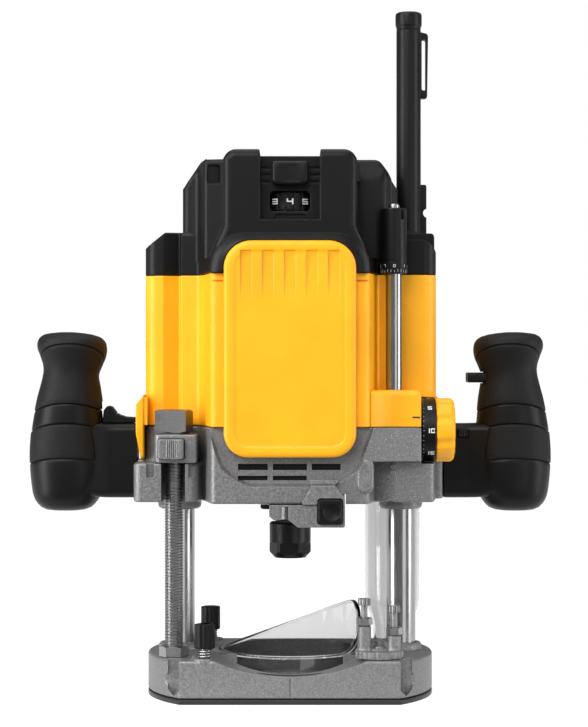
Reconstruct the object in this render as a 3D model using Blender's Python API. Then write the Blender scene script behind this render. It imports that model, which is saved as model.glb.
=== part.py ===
"""A plunge router: a motor carriage with two side grips, sliding on two columns.

Metres, +Z up. The origin is the middle of the base's underside, on the spindle's axis.
The columns stand at X = -COLUMN_X and X = COLUMN_X, and the front faces -Y.
Each moving group hangs from an empty that stands on its joint's axis.
"""
import math

import bmesh
import bpy

GAP = 0.0003  # clearance between neighbours
SMOOTH_ANGLE = math.radians(35)

# Base
BASE_RADIUS = 0.085
BASE_FLAT = 0.056  # the front and rear flats' distance from the middle
PLATE_TOP = 0.003
BASE_TOP = 0.0254
BIT_HOLE_RADIUS = 0.032
BOWL_RADIUS = 0.0432
BOWL_FLOOR = 0.008
SCOOP_RADIUS = 0.112
SCOOP_BOTTOM = 0.016
ROD_HOLE_RADIUS = 0.0042
ROD_HOLE_Y = 0.0485
ROD_HOLE_Z = 0.0135
CLAMP_X = -0.0495

# Columns, tubes and the height screw
COLUMN_X = 0.0663
COLUMN_RADIUS = 0.009
COLUMN_BORE = 0.0062
COLUMN_FOOT = 0.0120
COLUMN_TOP = 0.190
BUSH_RADIUS = 0.013
BUSH_LOW, BUSH_HIGH = 0.1100, 0.1480
TUBE_X, TUBE_Y = 0.0630, 0.0375
TUBE_RADIUS = 0.01675
TUBE_TOP = 0.1250
SCREW_X, SCREW_Y = -0.0680, -0.0350
SCREW_RADIUS = 0.0055

# Carriage
CARRIAGE_LOW = 0.1160
CARRIAGE_HIGH = 0.1600
DECK_LOW = 0.1520
HOUSING_TOP = 0.2490
COVER_TOP = 0.3209
SIDE = 0.0862
BODY_FRONT = -0.0600
BODY_REAR = 0.0660
PANEL_FRONT = -0.0660
WALL = 0.0030
CASTING_WALL = 0.0045

# Depth stop
ROD_X, ROD_Y = 0.0605, -0.0410
ROD_RADIUS = 0.0048
ROD_LOW, ROD_HIGH = 0.1200, 0.2875
RACK_TOP = 0.1740
STUD_TOP = 0.2900
TOOTH_MODULE = 0.0010
PINION_TEETH = 10
DEPTH_AXIS_Y, DEPTH_AXIS_Z = -0.0327, 0.1580
DIAL_RADIUS = 0.0186

# Spindle
NUT_LOW, NUT_HIGH = 0.0806, 0.1020
NUT_RADIUS = 0.0124
COLLET_BORE = 0.00635
SHAFT_RADIUS = 0.0080

# Grips
PAD_X = 0.0912  # the faces that the handles bolt to
PAD_HALF = 0.0240
PAD_TOP = 0.1398
GRIP_SPLIT = 0.1600
ARM_HALF_DEPTH = 0.0115
ARM_LOW, ARM_HIGH = 0.1170, 0.1617
TRIGGER_Z = 0.1885

# Turret
TURRET_X, TURRET_Y = 0.0520, -0.0410
POST_CIRCLE = 0.0087
TURRET_TOP = 0.0300


# ---------------------------------------------------------------- helpers

def material(name, colour, roughness, metallic=0.0, alpha=1.0):
    finish = bpy.data.materials.new(name)
    finish.use_nodes = True
    shader = finish.node_tree.nodes["Principled BSDF"]
    shader.inputs["Base Color"].default_value = (*colour, 1.0)
    shader.inputs["Roughness"].default_value = roughness
    shader.inputs["Metallic"].default_value = metallic
    shader.inputs["Alpha"].default_value = alpha
    return finish


def pivot(name, place, parent=None):
    """An empty on a joint's axis, for the pieces that move together."""
    empty = bpy.data.objects.new(name, None)
    bpy.context.scene.collection.objects.link(empty)
    empty.parent = parent
    empty["place"] = place
    above = parent["place"] if parent else (0.0, 0.0, 0.0)
    empty.location = [a - b for a, b in zip(place, above)]
    return empty


def add(name, bm, finish, parent):
    """Turn a mesh drawn in world coordinates into an object under its pivot."""
    bmesh.ops.recalc_face_normals(bm, faces=bm.faces)
    bmesh.ops.translate(bm, verts=bm.verts, vec=[-c for c in parent["place"]])
    mesh = bpy.data.meshes.new(name)
    bm.to_mesh(mesh)
    bm.free()
    mesh.materials.append(finish)
    mesh.shade_smooth()
    mesh.set_sharp_from_angle(angle=SMOOTH_ANGLE)
    obj = bpy.data.objects.new(name, mesh)
    bpy.context.scene.collection.objects.link(obj)
    obj.parent = parent
    return obj


def shape(obj, operation, *meshes):
    """Add Boolean modifiers that join, cut or intersect obj with meshes in world coordinates."""
    for number, bm in enumerate(meshes):
        tool = add(f"{obj.name}_{operation.lower()}_{number}", bm, obj.data.materials[0], obj.parent)
        tool.hide_render = True
        tool.display_type = "WIRE"
        modifier = obj.modifiers.new(operation.title(), "BOOLEAN")
        modifier.operation = operation
        modifier.object = tool


def rounded(corners, inset=0.0, steps=4):
    """A closed outline through counter-clockwise (u, v, radius) corners, moved in by inset."""
    count = len(corners)
    edges = []
    for i in range(count):
        (u0, v0, _), (u1, v1, _) = corners[i], corners[(i + 1) % count]
        length = math.hypot(u1 - u0, v1 - v0)
        edges.append(((u1 - u0) / length, (v1 - v0) / length))
    outline = []
    for i, (u, v, radius) in enumerate(corners):
        (au, av), (bu, bv) = edges[i - 1], edges[i]
        turn = math.atan2(au * bv - av * bu, au * bu + av * bv)
        half = math.tan(turn / 2)
        u += inset * (-av - au * half)
        v += inset * (au - av * half)
        radius = max(radius - inset if turn > 0 else radius + inset, 0.0)
        back = radius * abs(half)
        if back < 1e-5:
            outline.append((u, v))
            continue
        side = 1 if turn > 0 else -1
        start_u, start_v = u - au * back, v - av * back
        centre_u, centre_v = start_u - av * radius * side, start_v + au * radius * side
        first = math.atan2(start_v - centre_v, start_u - centre_u)
        for k in range(steps + 1):
            angle = first + turn * k / steps
            outline.append((centre_u + radius * math.cos(angle), centre_v + radius * math.sin(angle)))
    return outline


def box_outline(u0, u1, v0, v1, radius=0.0, steps=3):
    corners = [(u0, v0, radius), (u1, v0, radius), (u1, v1, radius), (u0, v1, radius)]
    return rounded(corners, steps=steps)


def circle(u, v, radius, count=24, turn=0.0):
    angles = [turn + math.tau * k / count for k in range(count)]
    return [(u + radius * math.cos(a), v + radius * math.sin(a)) for a in angles]


def hexagon(u, v, across_flats, turn=0.0):
    return circle(u, v, across_flats / math.sqrt(3), 6, turn)


def prism(outline, low, high, axis="Z"):
    """Extrude an outline: (x, y) along Z, (x, z) along Y or (y, z) along X."""
    place = {
        "Z": lambda u, v, w: (u, v, w),
        "Y": lambda u, v, w: (u, w, v),
        "X": lambda u, v, w: (w, u, v),
    }[axis]
    bm = bmesh.new()
    rings = [[bm.verts.new(place(u, v, w)) for u, v in outline] for w in (low, high)]
    for ring in rings:
        bm.faces.new(ring)
    count = len(outline)
    for i in range(count):
        j = (i + 1) % count
        bm.faces.new((rings[0][i], rings[0][j], rings[1][j], rings[1][i]))
    return bm


def box(x0, x1, y0, y1, z0, z1):
    return prism(box_outline(x0, x1, y0, y1), z0, z1)


def loft(rings):
    """Skin a stack of equal rings of points, and close both ends."""
    bm = bmesh.new()
    loops = [[bm.verts.new(p) for p in ring] for ring in rings]
    for lower, upper in zip(loops, loops[1:]):
        for i in range(len(lower)):
            j = (i + 1) % len(lower)
            bm.faces.new((lower[i], lower[j], upper[j], upper[i]))
    bm.faces.new(loops[0])
    bm.faces.new(loops[-1])
    return bm


def turned(profile, centre, axis="Z", count=24, hollow=False):
    """Turn (radius, height) points round an axis; hollow joins the last point to the first."""
    place = {
        "Z": lambda u, v, w: (centre[0] + u, centre[1] + v, w),
        "X": lambda u, v, w: (w, centre[0] + u, centre[1] + v),
    }[axis]
    bm = bmesh.new()
    loops = []
    for radius, height in profile:
        if radius == 0:
            loops.append([bm.verts.new(place(0, 0, height))])
        else:
            loops.append([bm.verts.new(place(u, v, height)) for u, v in circle(0, 0, radius, count)])
    pairs = list(zip(loops, loops[1:]))
    if hollow:
        pairs.append((loops[-1], loops[0]))
    for one, two in pairs:
        for i in range(count):
            j = (i + 1) % count
            corners = [one[i % len(one)], one[j % len(one)], two[j % len(two)], two[i % len(two)]]
            bm.faces.new(list(dict.fromkeys(corners)))
    if not hollow:
        for ring in (loops[0], loops[-1]):
            if len(ring) > 1:
                bm.faces.new(ring)
    return bm


def coil(x, y, low, high, radius, wire, turns, per_turn=8, sides=4):
    """A round-wire compression spring along Z."""
    bm = bmesh.new()
    count = int(turns * per_turn)
    rings = []
    for k in range(count + 1):
        angle = math.tau * k / per_turn
        height = low + wire + (high - low - 2 * wire) * k / count
        ring = []
        for s in range(sides):
            around = math.tau * s / sides
            reach = radius + wire * math.cos(around)
            lift = height + wire * math.sin(around)
            ring.append(bm.verts.new((x + reach * math.cos(angle), y + reach * math.sin(angle), lift)))
        rings.append(ring)
    for one, two in zip(rings, rings[1:]):
        for s in range(sides):
            t = (s + 1) % sides
            bm.faces.new((one[s], one[t], two[t], two[s]))
    bm.faces.new(rings[0])
    bm.faces.new(rings[-1])
    return bm


def round_bar(x, y, radius, low, high, count=24):
    return prism(circle(x, y, radius, count), low, high)


# ---------------------------------------------------------------- base

def base_outline(radius, flat):
    """A disc with its front and rear cut flat."""
    limit = math.asin(flat / radius)
    steps = 14
    right = [-limit + 2 * limit * k / steps for k in range(steps + 1)]
    angles = right + [math.pi + a for a in right]
    return [(radius * math.cos(a), radius * math.sin(a)) for a in angles]


def corner_pocket(side, end):
    """The V-bottomed recess where a flat meets the round end."""
    inner, outer = side * 0.0600, side * 0.0735
    low, floor, high = 0.0085, 0.0115, 0.0300
    outline = [(inner, floor), ((inner + outer) / 2, low), (outer, floor), (outer, high), (inner, high)]
    return prism(outline, end * 0.0500, end * 0.0700, "Y")


def build_base(root, mats):
    outline = base_outline(BASE_RADIUS, BASE_FLAT)
    plate = add("sub_base_plate", prism(outline, 0, PLATE_TOP), mats["black"], root)
    shape(plate, "DIFFERENCE", round_bar(0, 0, BIT_HOLE_RADIUS, -0.01, 0.01, 32))
    low = PLATE_TOP + GAP
    casting = add("base_casting", prism(outline, low, BASE_TOP), mats["cast"], root)
    bosses = [round_bar(side * COLUMN_X, 0, 0.0124, 0.010, 0.030) for side in (-1, 1)]
    shape(casting, "UNION", *bosses)
    scoop = circle(0, SCOOP_BOTTOM + SCOOP_RADIUS, SCOOP_RADIUS, 64)
    cuts = [
        round_bar(0, 0, BIT_HOLE_RADIUS, -0.01, 0.02, 32),
        round_bar(0, 0, BOWL_RADIUS, BOWL_FLOOR, 0.04, 40),
        prism(scoop, -0.070, -0.030, "Y"),
    ]
    cuts += [round_bar(side * COLUMN_X, 0, COLUMN_RADIUS + GAP, COLUMN_FOOT - GAP, 0.04) for side in (-1, 1)]
    cuts += [corner_pocket(side, end) for side in (-1, 1) for end in (-1, 1)]
    for end in (-1, 1):
        cuts.append(prism(circle(end * ROD_HOLE_Y, ROD_HOLE_Z, ROD_HOLE_RADIUS, 16), -0.1, 0.1, "X"))
        cuts.append(round_bar(CLAMP_X, end * ROD_HOLE_Y, 0.0029, ROD_HOLE_Z, 0.04, 12))
    shape(casting, "DIFFERENCE", *cuts)


def build_columns(root, mats):
    for name, side in (("left", -1), ("right", 1)):
        x = side * COLUMN_X
        wall = [
            (COLUMN_RADIUS, COLUMN_FOOT), (COLUMN_RADIUS, COLUMN_TOP - 0.001),
            (COLUMN_RADIUS - 0.001, COLUMN_TOP), (COLUMN_BORE, COLUMN_TOP),
            (COLUMN_BORE, COLUMN_FOOT + 0.003),
            (0, COLUMN_FOOT + 0.003),
        ]
        add(f"column_{name}", turned([(0, COLUMN_FOOT)] + wall, (x, 0)), mats["chrome"], root)
        spring = coil(x, 0, COLUMN_FOOT + 0.0035, 0.2680, 0.0048, 0.0009, 12)
        add(f"plunge_spring_{name}", spring, mats["steel"], root)


def build_shroud(root, mats):
    """Clear wall round the cutter: low at the front left, rising to the rear right."""
    steps = 40
    thick = 0.0016
    toward_tube = math.atan2(TUBE_Y, TUBE_X)
    radius = BOWL_RADIUS - 0.0007
    bm = bmesh.new()
    loops = [[], [], [], []]
    for k in range(steps):
        angle = math.tau * k / steps
        rise = (0.5 + 0.5 * math.cos(angle - toward_tube)) ** 1.6
        top = 0.0240 + 0.0330 * rise
        for loop, (r, z) in zip(loops, (
            (radius, BOWL_FLOOR + GAP), (radius, top),
            (radius - thick, top), (radius - thick, BOWL_FLOOR + GAP),
        )):
            loop.append(bm.verts.new((r * math.cos(angle), r * math.sin(angle), z)))
    for one, two in zip(loops, loops[1:] + loops[:1]):
        for i in range(steps):
            j = (i + 1) % steps
            bm.faces.new((one[i], one[j], two[j], two[i]))
    add("chip_shroud", bm, mats["clear"], root)
    wall = [
        (TUBE_RADIUS, BASE_TOP + GAP), (TUBE_RADIUS, TUBE_TOP),
        (TUBE_RADIUS - 0.0016, TUBE_TOP), (TUBE_RADIUS - 0.0016, BASE_TOP + GAP),
    ]
    tube = add("dust_tube", turned(wall, (TUBE_X, TUBE_Y), count=28, hollow=True), mats["clear"], root)
    mouth = box(0.035, 0.056, 0.024, 0.038, 0.030, 0.054)
    shape(tube, "DIFFERENCE", mouth)


def build_height_screw(root, mats):
    block = prism(hexagon(SCREW_X, SCREW_Y, 0.0150), BASE_TOP + GAP, 0.0320)
    nut = add("screw_base_nut", block, mats["steel"], root)
    shape(nut, "DIFFERENCE", round_bar(SCREW_X, SCREW_Y, SCREW_RADIUS + GAP, 0.0, 0.05))
    turn = pivot("height_screw_pivot", (SCREW_X, SCREW_Y, 0.100), root)
    bar = round_bar(SCREW_X, SCREW_Y, SCREW_RADIUS, BASE_TOP + GAP, 0.1600)
    rod = add("height_screw", bar, mats["steel"], turn)
    shape(rod, "UNION", prism(hexagon(SCREW_X, SCREW_Y, 0.0195, math.radians(10)), 0.1562, 0.1700))


def build_turret(root, mats):
    turn = pivot("turret_pivot", (TURRET_X, TURRET_Y, TURRET_TOP), root)
    plate = round_bar(TURRET_X, TURRET_Y, 0.0143, BASE_TOP + GAP, TURRET_TOP)
    disc = add("depth_turret", plate, mats["cast"], turn)
    tops = {180: 0.0440, 0: 0.0385, 85: 0.0345}
    posts = {}
    for degrees, top in tops.items():
        angle = math.radians(degrees)
        x = TURRET_X + POST_CIRCLE * math.cos(angle)
        y = TURRET_Y + POST_CIRCLE * math.sin(angle)
        posts[degrees] = (x, y)
        shape(disc, "UNION", round_bar(x, y, 0.0040, TURRET_TOP - 0.002, top, 16))
    for name, degrees, head in (("high", 180, 0.0600), ("middle", 0, 0.0560)):
        x, y = posts[degrees]
        post = tops[degrees]
        nut = prism(hexagon(x, y, 0.0082), post + GAP, post + 0.0050)
        lock = add(f"stop_nut_{name}", nut, mats["steel"], turn)
        shape(lock, "DIFFERENCE", round_bar(x, y, 0.0023, 0.0, 0.1, 12))
        turn_screw = pivot(f"stop_screw_{name}_pivot", (x, y, head), turn)
        profile = [
            (0, post + GAP), (0.0020, post + GAP), (0.0020, head - 0.0040),
            (0.0037, head - 0.0040), (0.0037, head - 0.0005), (0.0032, head), (0, head),
        ]
        add(f"stop_screw_{name}", turned(profile, (x, y), count=16), mats["steel"], turn_screw)


def build_fence_clamps(root, mats):
    for name, end in (("front", -1), ("rear", 1)):
        y = end * ROD_HOLE_Y
        spring = coil(CLAMP_X, y, BASE_TOP + GAP, 0.0297, 0.0042, 0.0004, 2.5)
        add(f"clamp_spring_{name}", spring, mats["steel"], root)
        turn = pivot(f"clamp_{name}_pivot", (CLAMP_X, y, 0.030), root)
        profile = [
            (0, 0.0180), (0.0026, 0.0180), (0.0026, 0.0300),
            (0.0060, 0.0300), (0.0060, 0.0440), (0.0050, 0.0460),
            (0, 0.0460),
        ]
        add(f"fence_clamp_{name}", turned(profile, (CLAMP_X, y), count=20), mats["black"], turn)


# ---------------------------------------------------------------- carriage

def body_corners():
    """The plan of the casting, the housing and the cover, counter-clockwise from the front left."""
    return [
        (-SIDE, -0.0170, 0.008), (-0.0600, -0.0170, 0.003),
        (-0.0520, -0.0290, 0.003), (-0.0455, BODY_FRONT, 0.004),
        (0.0455, BODY_FRONT, 0.004), (0.0505, -0.0360, 0.003),
        (0.0520, -0.0300, 0.001), (SIDE, -0.0300, 0.008),
        (SIDE, 0.0580, 0.014), (0.0520, 0.0580, 0.003), (0.0440, BODY_REAR, 0.010),
        (-0.0440, BODY_REAR, 0.010), (-0.0520, 0.0580, 0.003), (-SIDE, 0.0580, 0.014),
    ]


def dial_block(low, high):
    """Solid corner behind the depth dial, which its pocket is cut from."""
    return box(0.0715, SIDE - 0.001, -0.0285, -0.0100, low, high)


def dial_pocket():
    outline = circle(DEPTH_AXIS_Y, DEPTH_AXIS_Z, DIAL_RADIUS + 0.0008, 32)
    return prism(outline, 0.0762, 0.1000, "X")


def screw_channel(low, high):
    """The slot that the height screw stands in, open to the front and reaching back to the wall."""
    return box(SCREW_X - 0.0070, SCREW_X + 0.0070, -0.0600, -0.0175, low, high)


def skirt(side, low):
    """The housing's flared side, which hangs over the casting where a handle joins."""
    front = -PAD_HALF if side < 0 else -0.0125
    outline = [(front, 0.1605), (front + 0.0020, PAD_TOP + 0.0005), (PAD_HALF - 0.0020, PAD_TOP + 0.0005),
               (PAD_HALF, 0.1605), (PAD_HALF, 0.1700), (PAD_HALF - 0.0020, 0.1760), (front + 0.0020, 0.1760),
               (front, 0.1700)]
    near, far = sorted((side * (SIDE + GAP), side * PAD_X))
    flare = prism(outline, near, far, "X")
    joint = sorted((side * (SIDE - 0.0020), side * (SIDE + 0.0020)))
    root = prism(box_outline(front + 0.0005, PAD_HALF - 0.0005, low + 0.0003, 0.1750), *joint, "X")
    return flare, root


def pinion_bore():
    wide = prism(circle(DEPTH_AXIS_Y, DEPTH_AXIS_Z, 0.0066, 20), 0.0556, 0.0654, "X")
    narrow = prism(circle(DEPTH_AXIS_Y, DEPTH_AXIS_Z, 0.0034, 16), 0.0600, 0.0800, "X")
    return wide, narrow


def build_casting(carriage, mats):
    outer = rounded(body_corners())
    casting = add("carriage_casting", prism(outer, CARRIAGE_LOW, CARRIAGE_HIGH), mats["cast"], carriage)
    cavity = prism(rounded(body_corners(), CASTING_WALL), 0.1000, DECK_LOW)
    shape(casting, "DIFFERENCE", cavity)
    bosses = [round_bar(side * COLUMN_X, 0, 0.0163, CARRIAGE_LOW + 0.0005, 0.1560) for side in (-1, 1)]
    joins = bosses + [
        round_bar(0, 0, 0.0235, 0.1130, 0.1560, 28),
        round_bar(TUBE_X, TUBE_Y, 0.0199, CARRIAGE_LOW + 0.0010, 0.1560, 28),
        prism(rounded([(-PAD_X, -0.0450, 0.006), (-0.0540, -0.0450, 0.006), (-0.0520, -0.0220, 0.001),
                       (-PAD_X, -0.0120, 0.001)]), CARRIAGE_LOW + 0.0002, 0.1388),
        prism(rounded([(0.0400, -0.0510, 0.003), (0.0760, -0.0520, 0.002), (0.0760, -0.0240, 0.001),
                       (0.0400, -0.0240, 0.001)]), 0.1400, CARRIAGE_HIGH - 0.0001),
        prism(rounded([(0.0520, -0.0460, 0.006), (0.0858, -0.0460, 0.004), (0.0858, -0.0280, 0.001),
                       (0.0520, -0.0280, 0.001)]), CARRIAGE_LOW + 0.0003, 0.1402),
        dial_block(0.1340, CARRIAGE_HIGH - 0.0002),
    ]
    for side in (-1, 1):
        near, far = sorted((side * (SIDE - CASTING_WALL + 0.0005), side * PAD_X))
        joins.append(prism(box_outline(near, far, -0.0125, PAD_HALF, 0.002), CARRIAGE_LOW + 0.0004, PAD_TOP))
    shape(casting, "UNION", *joins)
    cuts = [round_bar(side * COLUMN_X, 0, BUSH_RADIUS + GAP, 0.1000, BUSH_HIGH + GAP) for side in (-1, 1)]
    cuts += [round_bar(side * COLUMN_X, 0, COLUMN_RADIUS + 0.0006, 0.1000, 0.2000) for side in (-1, 1)]
    cuts += [
        round_bar(TUBE_X, TUBE_Y, TUBE_RADIUS + 0.0005, 0.1000, 0.2000, 28),
        round_bar(0, 0, 0.0160 + GAP, 0.1220, 0.2000, 32),
        round_bar(0, 0, SHAFT_RADIUS + 0.0006, 0.1000, 0.2000),
        screw_channel(0.1000, 0.1500),
        round_bar(ROD_X, ROD_Y, ROD_RADIUS + 0.0004, 0.1000, 0.2000),
        box(0.0130, 0.0322, -0.0700, -0.0480, 0.1000, 0.1218),
        dial_pocket(),
        box(0.0762, 0.1000, -0.0600, DEPTH_AXIS_Y, DEPTH_AXIS_Z - DIAL_RADIUS - 0.0008, 0.2000),
    ]
    cuts += pinion_bore()
    for low, high, spans in ((0.1350, 0.1390, 3), (0.1293, 0.1322, 2)):
        for k in range(spans):
            left = -0.0300 + 0.0210 * k
            cuts.append(box(left, left + 0.0180, -0.0700, -0.0500, low, high))
    shape(casting, "DIFFERENCE", *cuts)
    for name, side in (("left", -1), ("right", 1)):
        wall = [
            (BUSH_RADIUS, BUSH_LOW), (BUSH_RADIUS, BUSH_HIGH),
            (COLUMN_RADIUS + 0.0002, BUSH_HIGH), (COLUMN_RADIUS + 0.0002, BUSH_LOW),
        ]
        add(f"guide_bush_{name}", turned(wall, (side * COLUMN_X, 0), hollow=True), mats["black"], carriage)


def build_housing(carriage, mats):
    low = CARRIAGE_HIGH + GAP
    housing = add("motor_housing", prism(rounded(body_corners()), low, HOUSING_TOP), mats["yellow"], carriage)
    shape(housing, "DIFFERENCE", prism(rounded(body_corners(), WALL), 0.1000, 0.3000))
    shape(housing, "UNION", dial_block(low + 0.0001, 0.1812), *skirt(-1, low), *skirt(1, low))
    corner = box(0.0762, 0.1000, -0.0600, DEPTH_AXIS_Y, 0.1000, DEPTH_AXIS_Z + DIAL_RADIUS + 0.0008)
    shape(housing, "DIFFERENCE", dial_pocket(), corner, *pinion_bore())
    outline = rounded([(-0.0380, 0.1430, 0.014), (0.0380, 0.1430, 0.014), (0.0380, 0.2675, 0.016),
                       (-0.0380, 0.2675, 0.016)], steps=6)
    add("front_panel", prism(outline, PANEL_FRONT, BODY_FRONT - 0.0004, "Y"), mats["yellow"], carriage)
    block = rounded([(0.0480, -0.0515, 0.001), (0.0760, -0.0520, 0.002), (0.0760, -0.0304, 0.0),
                     (0.0530, -0.0304, 0.0), (0.0512, -0.0363, 0.0)])
    cover = add("depth_gear_cover", prism(block, low, 0.1816), mats["yellow"], carriage)
    shape(cover, "DIFFERENCE", round_bar(ROD_X, ROD_Y, ROD_RADIUS + 0.0004, 0.1000, 0.2000), *pinion_bore())


def cover_profile(inset):
    """The cover's outline from the front: shoulders, middle step and raised crown."""
    half = [(-SIDE, 0.2663, 0), (-0.0755, 0.2747, 0), (-0.0638, 0.2747, 0), (-0.0638, 0.3004, 0),
            (-0.0524, 0.3168, 0), (-0.0372, 0.3168, 0), (-0.0330, COVER_TOP, 0)]
    mirrored = [(-x, z, r) for x, z, r in reversed(half)]
    low = HOUSING_TOP + GAP - (0.02 if inset else 0.0)
    corners = [(-SIDE, low, 0)] + half + mirrored + [(SIDE, low, 0)]
    return rounded(list(reversed(corners)), inset)


def build_cover(carriage, mats):
    low = HOUSING_TOP + GAP
    cover = add("top_cover", prism(rounded(body_corners()), low, 0.3300), mats["black"], carriage)
    shape(cover, "INTERSECT", prism(cover_profile(0.0), -0.1, 0.1, "Y"))
    inside = prism(rounded(body_corners(), WALL), 0.2000, 0.3300)
    hollow = add("top_cover_hollow", inside, mats["black"], carriage)
    hollow.hide_render = True
    hollow.display_type = "WIRE"
    shape(hollow, "INTERSECT", prism(cover_profile(WALL), -0.09, 0.09, "Y"))
    modifier = cover.modifiers.new("Hollow", "BOOLEAN")
    modifier.object = hollow
    shape(cover, "UNION", box(-0.0206, 0.0206, -0.0580, -0.0485, 0.2775, 0.3180))
    shape(
        cover, "DIFFERENCE",
        box(-0.0176, 0.0176, -0.0800, -0.0520, 0.2800, 0.4000),
        box(-0.0176, 0.0176, -0.0900, 0.0400, 0.3190, 0.4000),
        box(-0.0114, 0.0114, -0.0800, -0.0400, 0.2850, 0.2965),
    )
    slide = prism(box_outline(-0.0104, 0.0104, 0.2997, 0.3136, 0.002), -0.0590, -0.0523, "Y")
    add("slide_switch", slide, mats["black"], pivot("slide_switch_pivot", (0, -0.0555, 0.3066), carriage))
    turn = pivot("speed_dial_pivot", (0, -0.0362, 0.2908), carriage)
    add("speed_dial", round_bar(0, -0.0362, 0.0150, 0.2853, 0.2962, 28), mats["black"], turn)
    board = box(-0.0330, 0.0330, -0.0180, 0.0300, 0.2890, 0.3020)
    add("control_module", board, mats["black"], carriage)


def build_mast(carriage, mats):
    """The tapered guide that stands on the right shoulder, with its slotted fin and foot."""
    x, y = 0.0734, 0.0450
    profile = [
        (0, 0.2750), (0.0083, 0.2750), (0.00755, 0.4057),
        (0.00815, 0.4060), (0.00815, 0.4140), (0.0074, 0.4148),
        (0, 0.4148),
    ]
    mast = add("cord_guide_mast", turned(profile, (x, y), count=20), mats["black"], carriage)
    shape(
        mast, "UNION",
        box(x, 0.0854, y - 0.0040, y + 0.0040, 0.3610, 0.4030),
        box(x, 0.0843, y - 0.0040, y + 0.0040, 0.2752, 0.3090),
    )
    shape(mast, "DIFFERENCE", box(0.0816, 0.0839, y - 0.0100, y + 0.0100, 0.3660, 0.3975))


def build_quick_release(carriage, mats):
    block = rounded([(-0.0790, -0.0440, 0.002), (-0.0540, -0.0470, 0.001), (-0.0540, -0.0268, 0.0),
                     (-0.0602, -0.0177, 0.0), (-0.0790, -0.0177, 0.001)])
    body = add("quick_release_block", prism(block, 0.1391, 0.1555), mats["cast"], carriage)
    shape(
        body, "DIFFERENCE",
        box(SCREW_X - 0.0070, SCREW_X + 0.0070, SCREW_Y - 0.0068, 0.0, 0.1000, 0.2000),
        prism(box_outline(-0.0770, -0.0610, 0.1410, 0.1535, 0.001), -0.0600, -0.0415, "Y"),
    )
    press = pivot("quick_release_pivot", (-0.0690, -0.0480, 0.1472), carriage)
    button = prism(box_outline(-0.0765, -0.0615, 0.1413, 0.1532, 0.001), -0.0505, -0.0435, "Y")
    add("quick_release_button", button, mats["cast"], press)


# ---------------------------------------------------------------- motor and spindle

def build_motor(carriage, mats):
    stator = [(0.0360, 0.1950), (0.0360, 0.2400), (0.0240, 0.2400), (0.0240, 0.1950)]
    add("field_stator", turned(stator, (0, 0), count=28, hollow=True), mats["steel"], carriage)
    for name, low, high, outer, inner in (
        ("lower_bearing", 0.1224, 0.1340, 0.0160, 0.0083), ("upper_bearing", 0.2660, 0.2740, 0.0110, 0.0033),
    ):
        race = [(outer, low), (outer, high), (inner, high), (inner, low)]
        add(name, turned(race, (0, 0), hollow=True), mats["steel"], carriage)
    for name, side in (("left", -1), ("right", 1)):
        near, far = side * 0.0145, side * 0.0400
        holder = box(min(near, far), max(near, far), -0.0055, 0.0055, 0.2480, 0.2590)
        add(f"brush_holder_{name}", holder, mats["brass"], carriage)


def build_spindle(carriage, mats):
    spin = pivot("spindle_pivot", (0, 0, NUT_HIGH), carriage)
    profile = [
        (0, 0.1010), (0.0089, 0.1010), (0.0089, 0.0870), (0.0101, 0.0870), (0.0101, 0.1005),
        (SHAFT_RADIUS, 0.1035), (SHAFT_RADIUS, 0.1500), (0.0060, 0.1520), (0.0060, 0.1690), (0.0030, 0.1700),
        (0.0030, 0.2750), (0, 0.2750),
    ]
    add("spindle_shaft", turned(profile, (0, 0), count=20), mats["chrome"], spin)
    for name, finish, low, high, outer, inner in (
        ("armature", "copper", 0.1950, 0.2400, 0.0230, 0.0033),
        ("commutator", "brass", 0.2470, 0.2600, 0.0140, 0.0033),
        ("cooling_fan", "black", 0.1720, 0.1840, 0.0420, 0.0033),
    ):
        ring = [(outer, low), (outer, high), (inner, high), (inner, low)]
        add(name, turned(ring, (0, 0), hollow=True, count=28), mats[finish], spin)
    jaws = [
        (0.0075, 0.0846), (0.0086, 0.0880), (0.0086, 0.1000),
        (COLLET_BORE, 0.1000), (COLLET_BORE, 0.0846),
    ]
    add("collet", turned(jaws, (0, 0), count=20, hollow=True), mats["steel"], spin)
    turn = pivot("collet_nut_pivot", (0, 0, NUT_HIGH), spin)
    nut = add("collet_nut", round_bar(0, 0, NUT_RADIUS, NUT_LOW, NUT_HIGH, 30), mats["black"], turn)
    shape(nut, "DIFFERENCE", round_bar(0, 0, 0.0104, 0.0843, 0.1035), round_bar(0, 0, 0.0072, 0.0700, 0.0900))


def build_spindle_lock(carriage, mats):
    outline = [(-0.0120, 0.1055), (-0.0040, 0.1026), (0.0316, 0.1026), (0.0316, 0.1156), (-0.0120, 0.1156)]
    bracket = add("spindle_lock_bracket", prism(outline, -0.0620, -0.0250, "Y"), mats["cast"], carriage)
    lug = [(0.0056, 0.1150), (0.0316, 0.1150), (0.0316, 0.1220), (0.0240, 0.1290), (0.0100, 0.1290)]
    shape(
        bracket, "UNION",
        box(0.0138, 0.0315, -0.0619, -0.0500, 0.1140, 0.1212),
        prism(lug, -0.0638, -0.0604, "Y"),
    )
    pocket = box_outline(0.0157, 0.0303, 0.1045, 0.1195, 0.0015)
    bolt = circle(0.0230, 0.1095, 0.0031, 12)
    shape(bracket, "DIFFERENCE", prism(pocket, -0.0800, -0.0540, "Y"), prism(bolt, -0.0600, 0.0, "Y"))
    press = pivot("spindle_lock_pivot", (0.0230, -0.0620, 0.1120), carriage)
    cap = prism(box_outline(0.0160, 0.0300, 0.1048, 0.1192, 0.0015), -0.0650, -0.0590, "Y")
    button = add("spindle_lock_button", cap, mats["black"], press)
    shape(button, "UNION", prism(circle(0.0230, 0.1095, 0.0027, 12), -0.0600, -0.0130, "Y"))
    bumper = [(0, 0.1095), (0.0043, 0.1095), (0.0043, 0.1121), (0, 0.1121)]
    add("rubber_bumper", turned(bumper, (-0.0137, 0.0), count=14), mats["rubber"], carriage)


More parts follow.
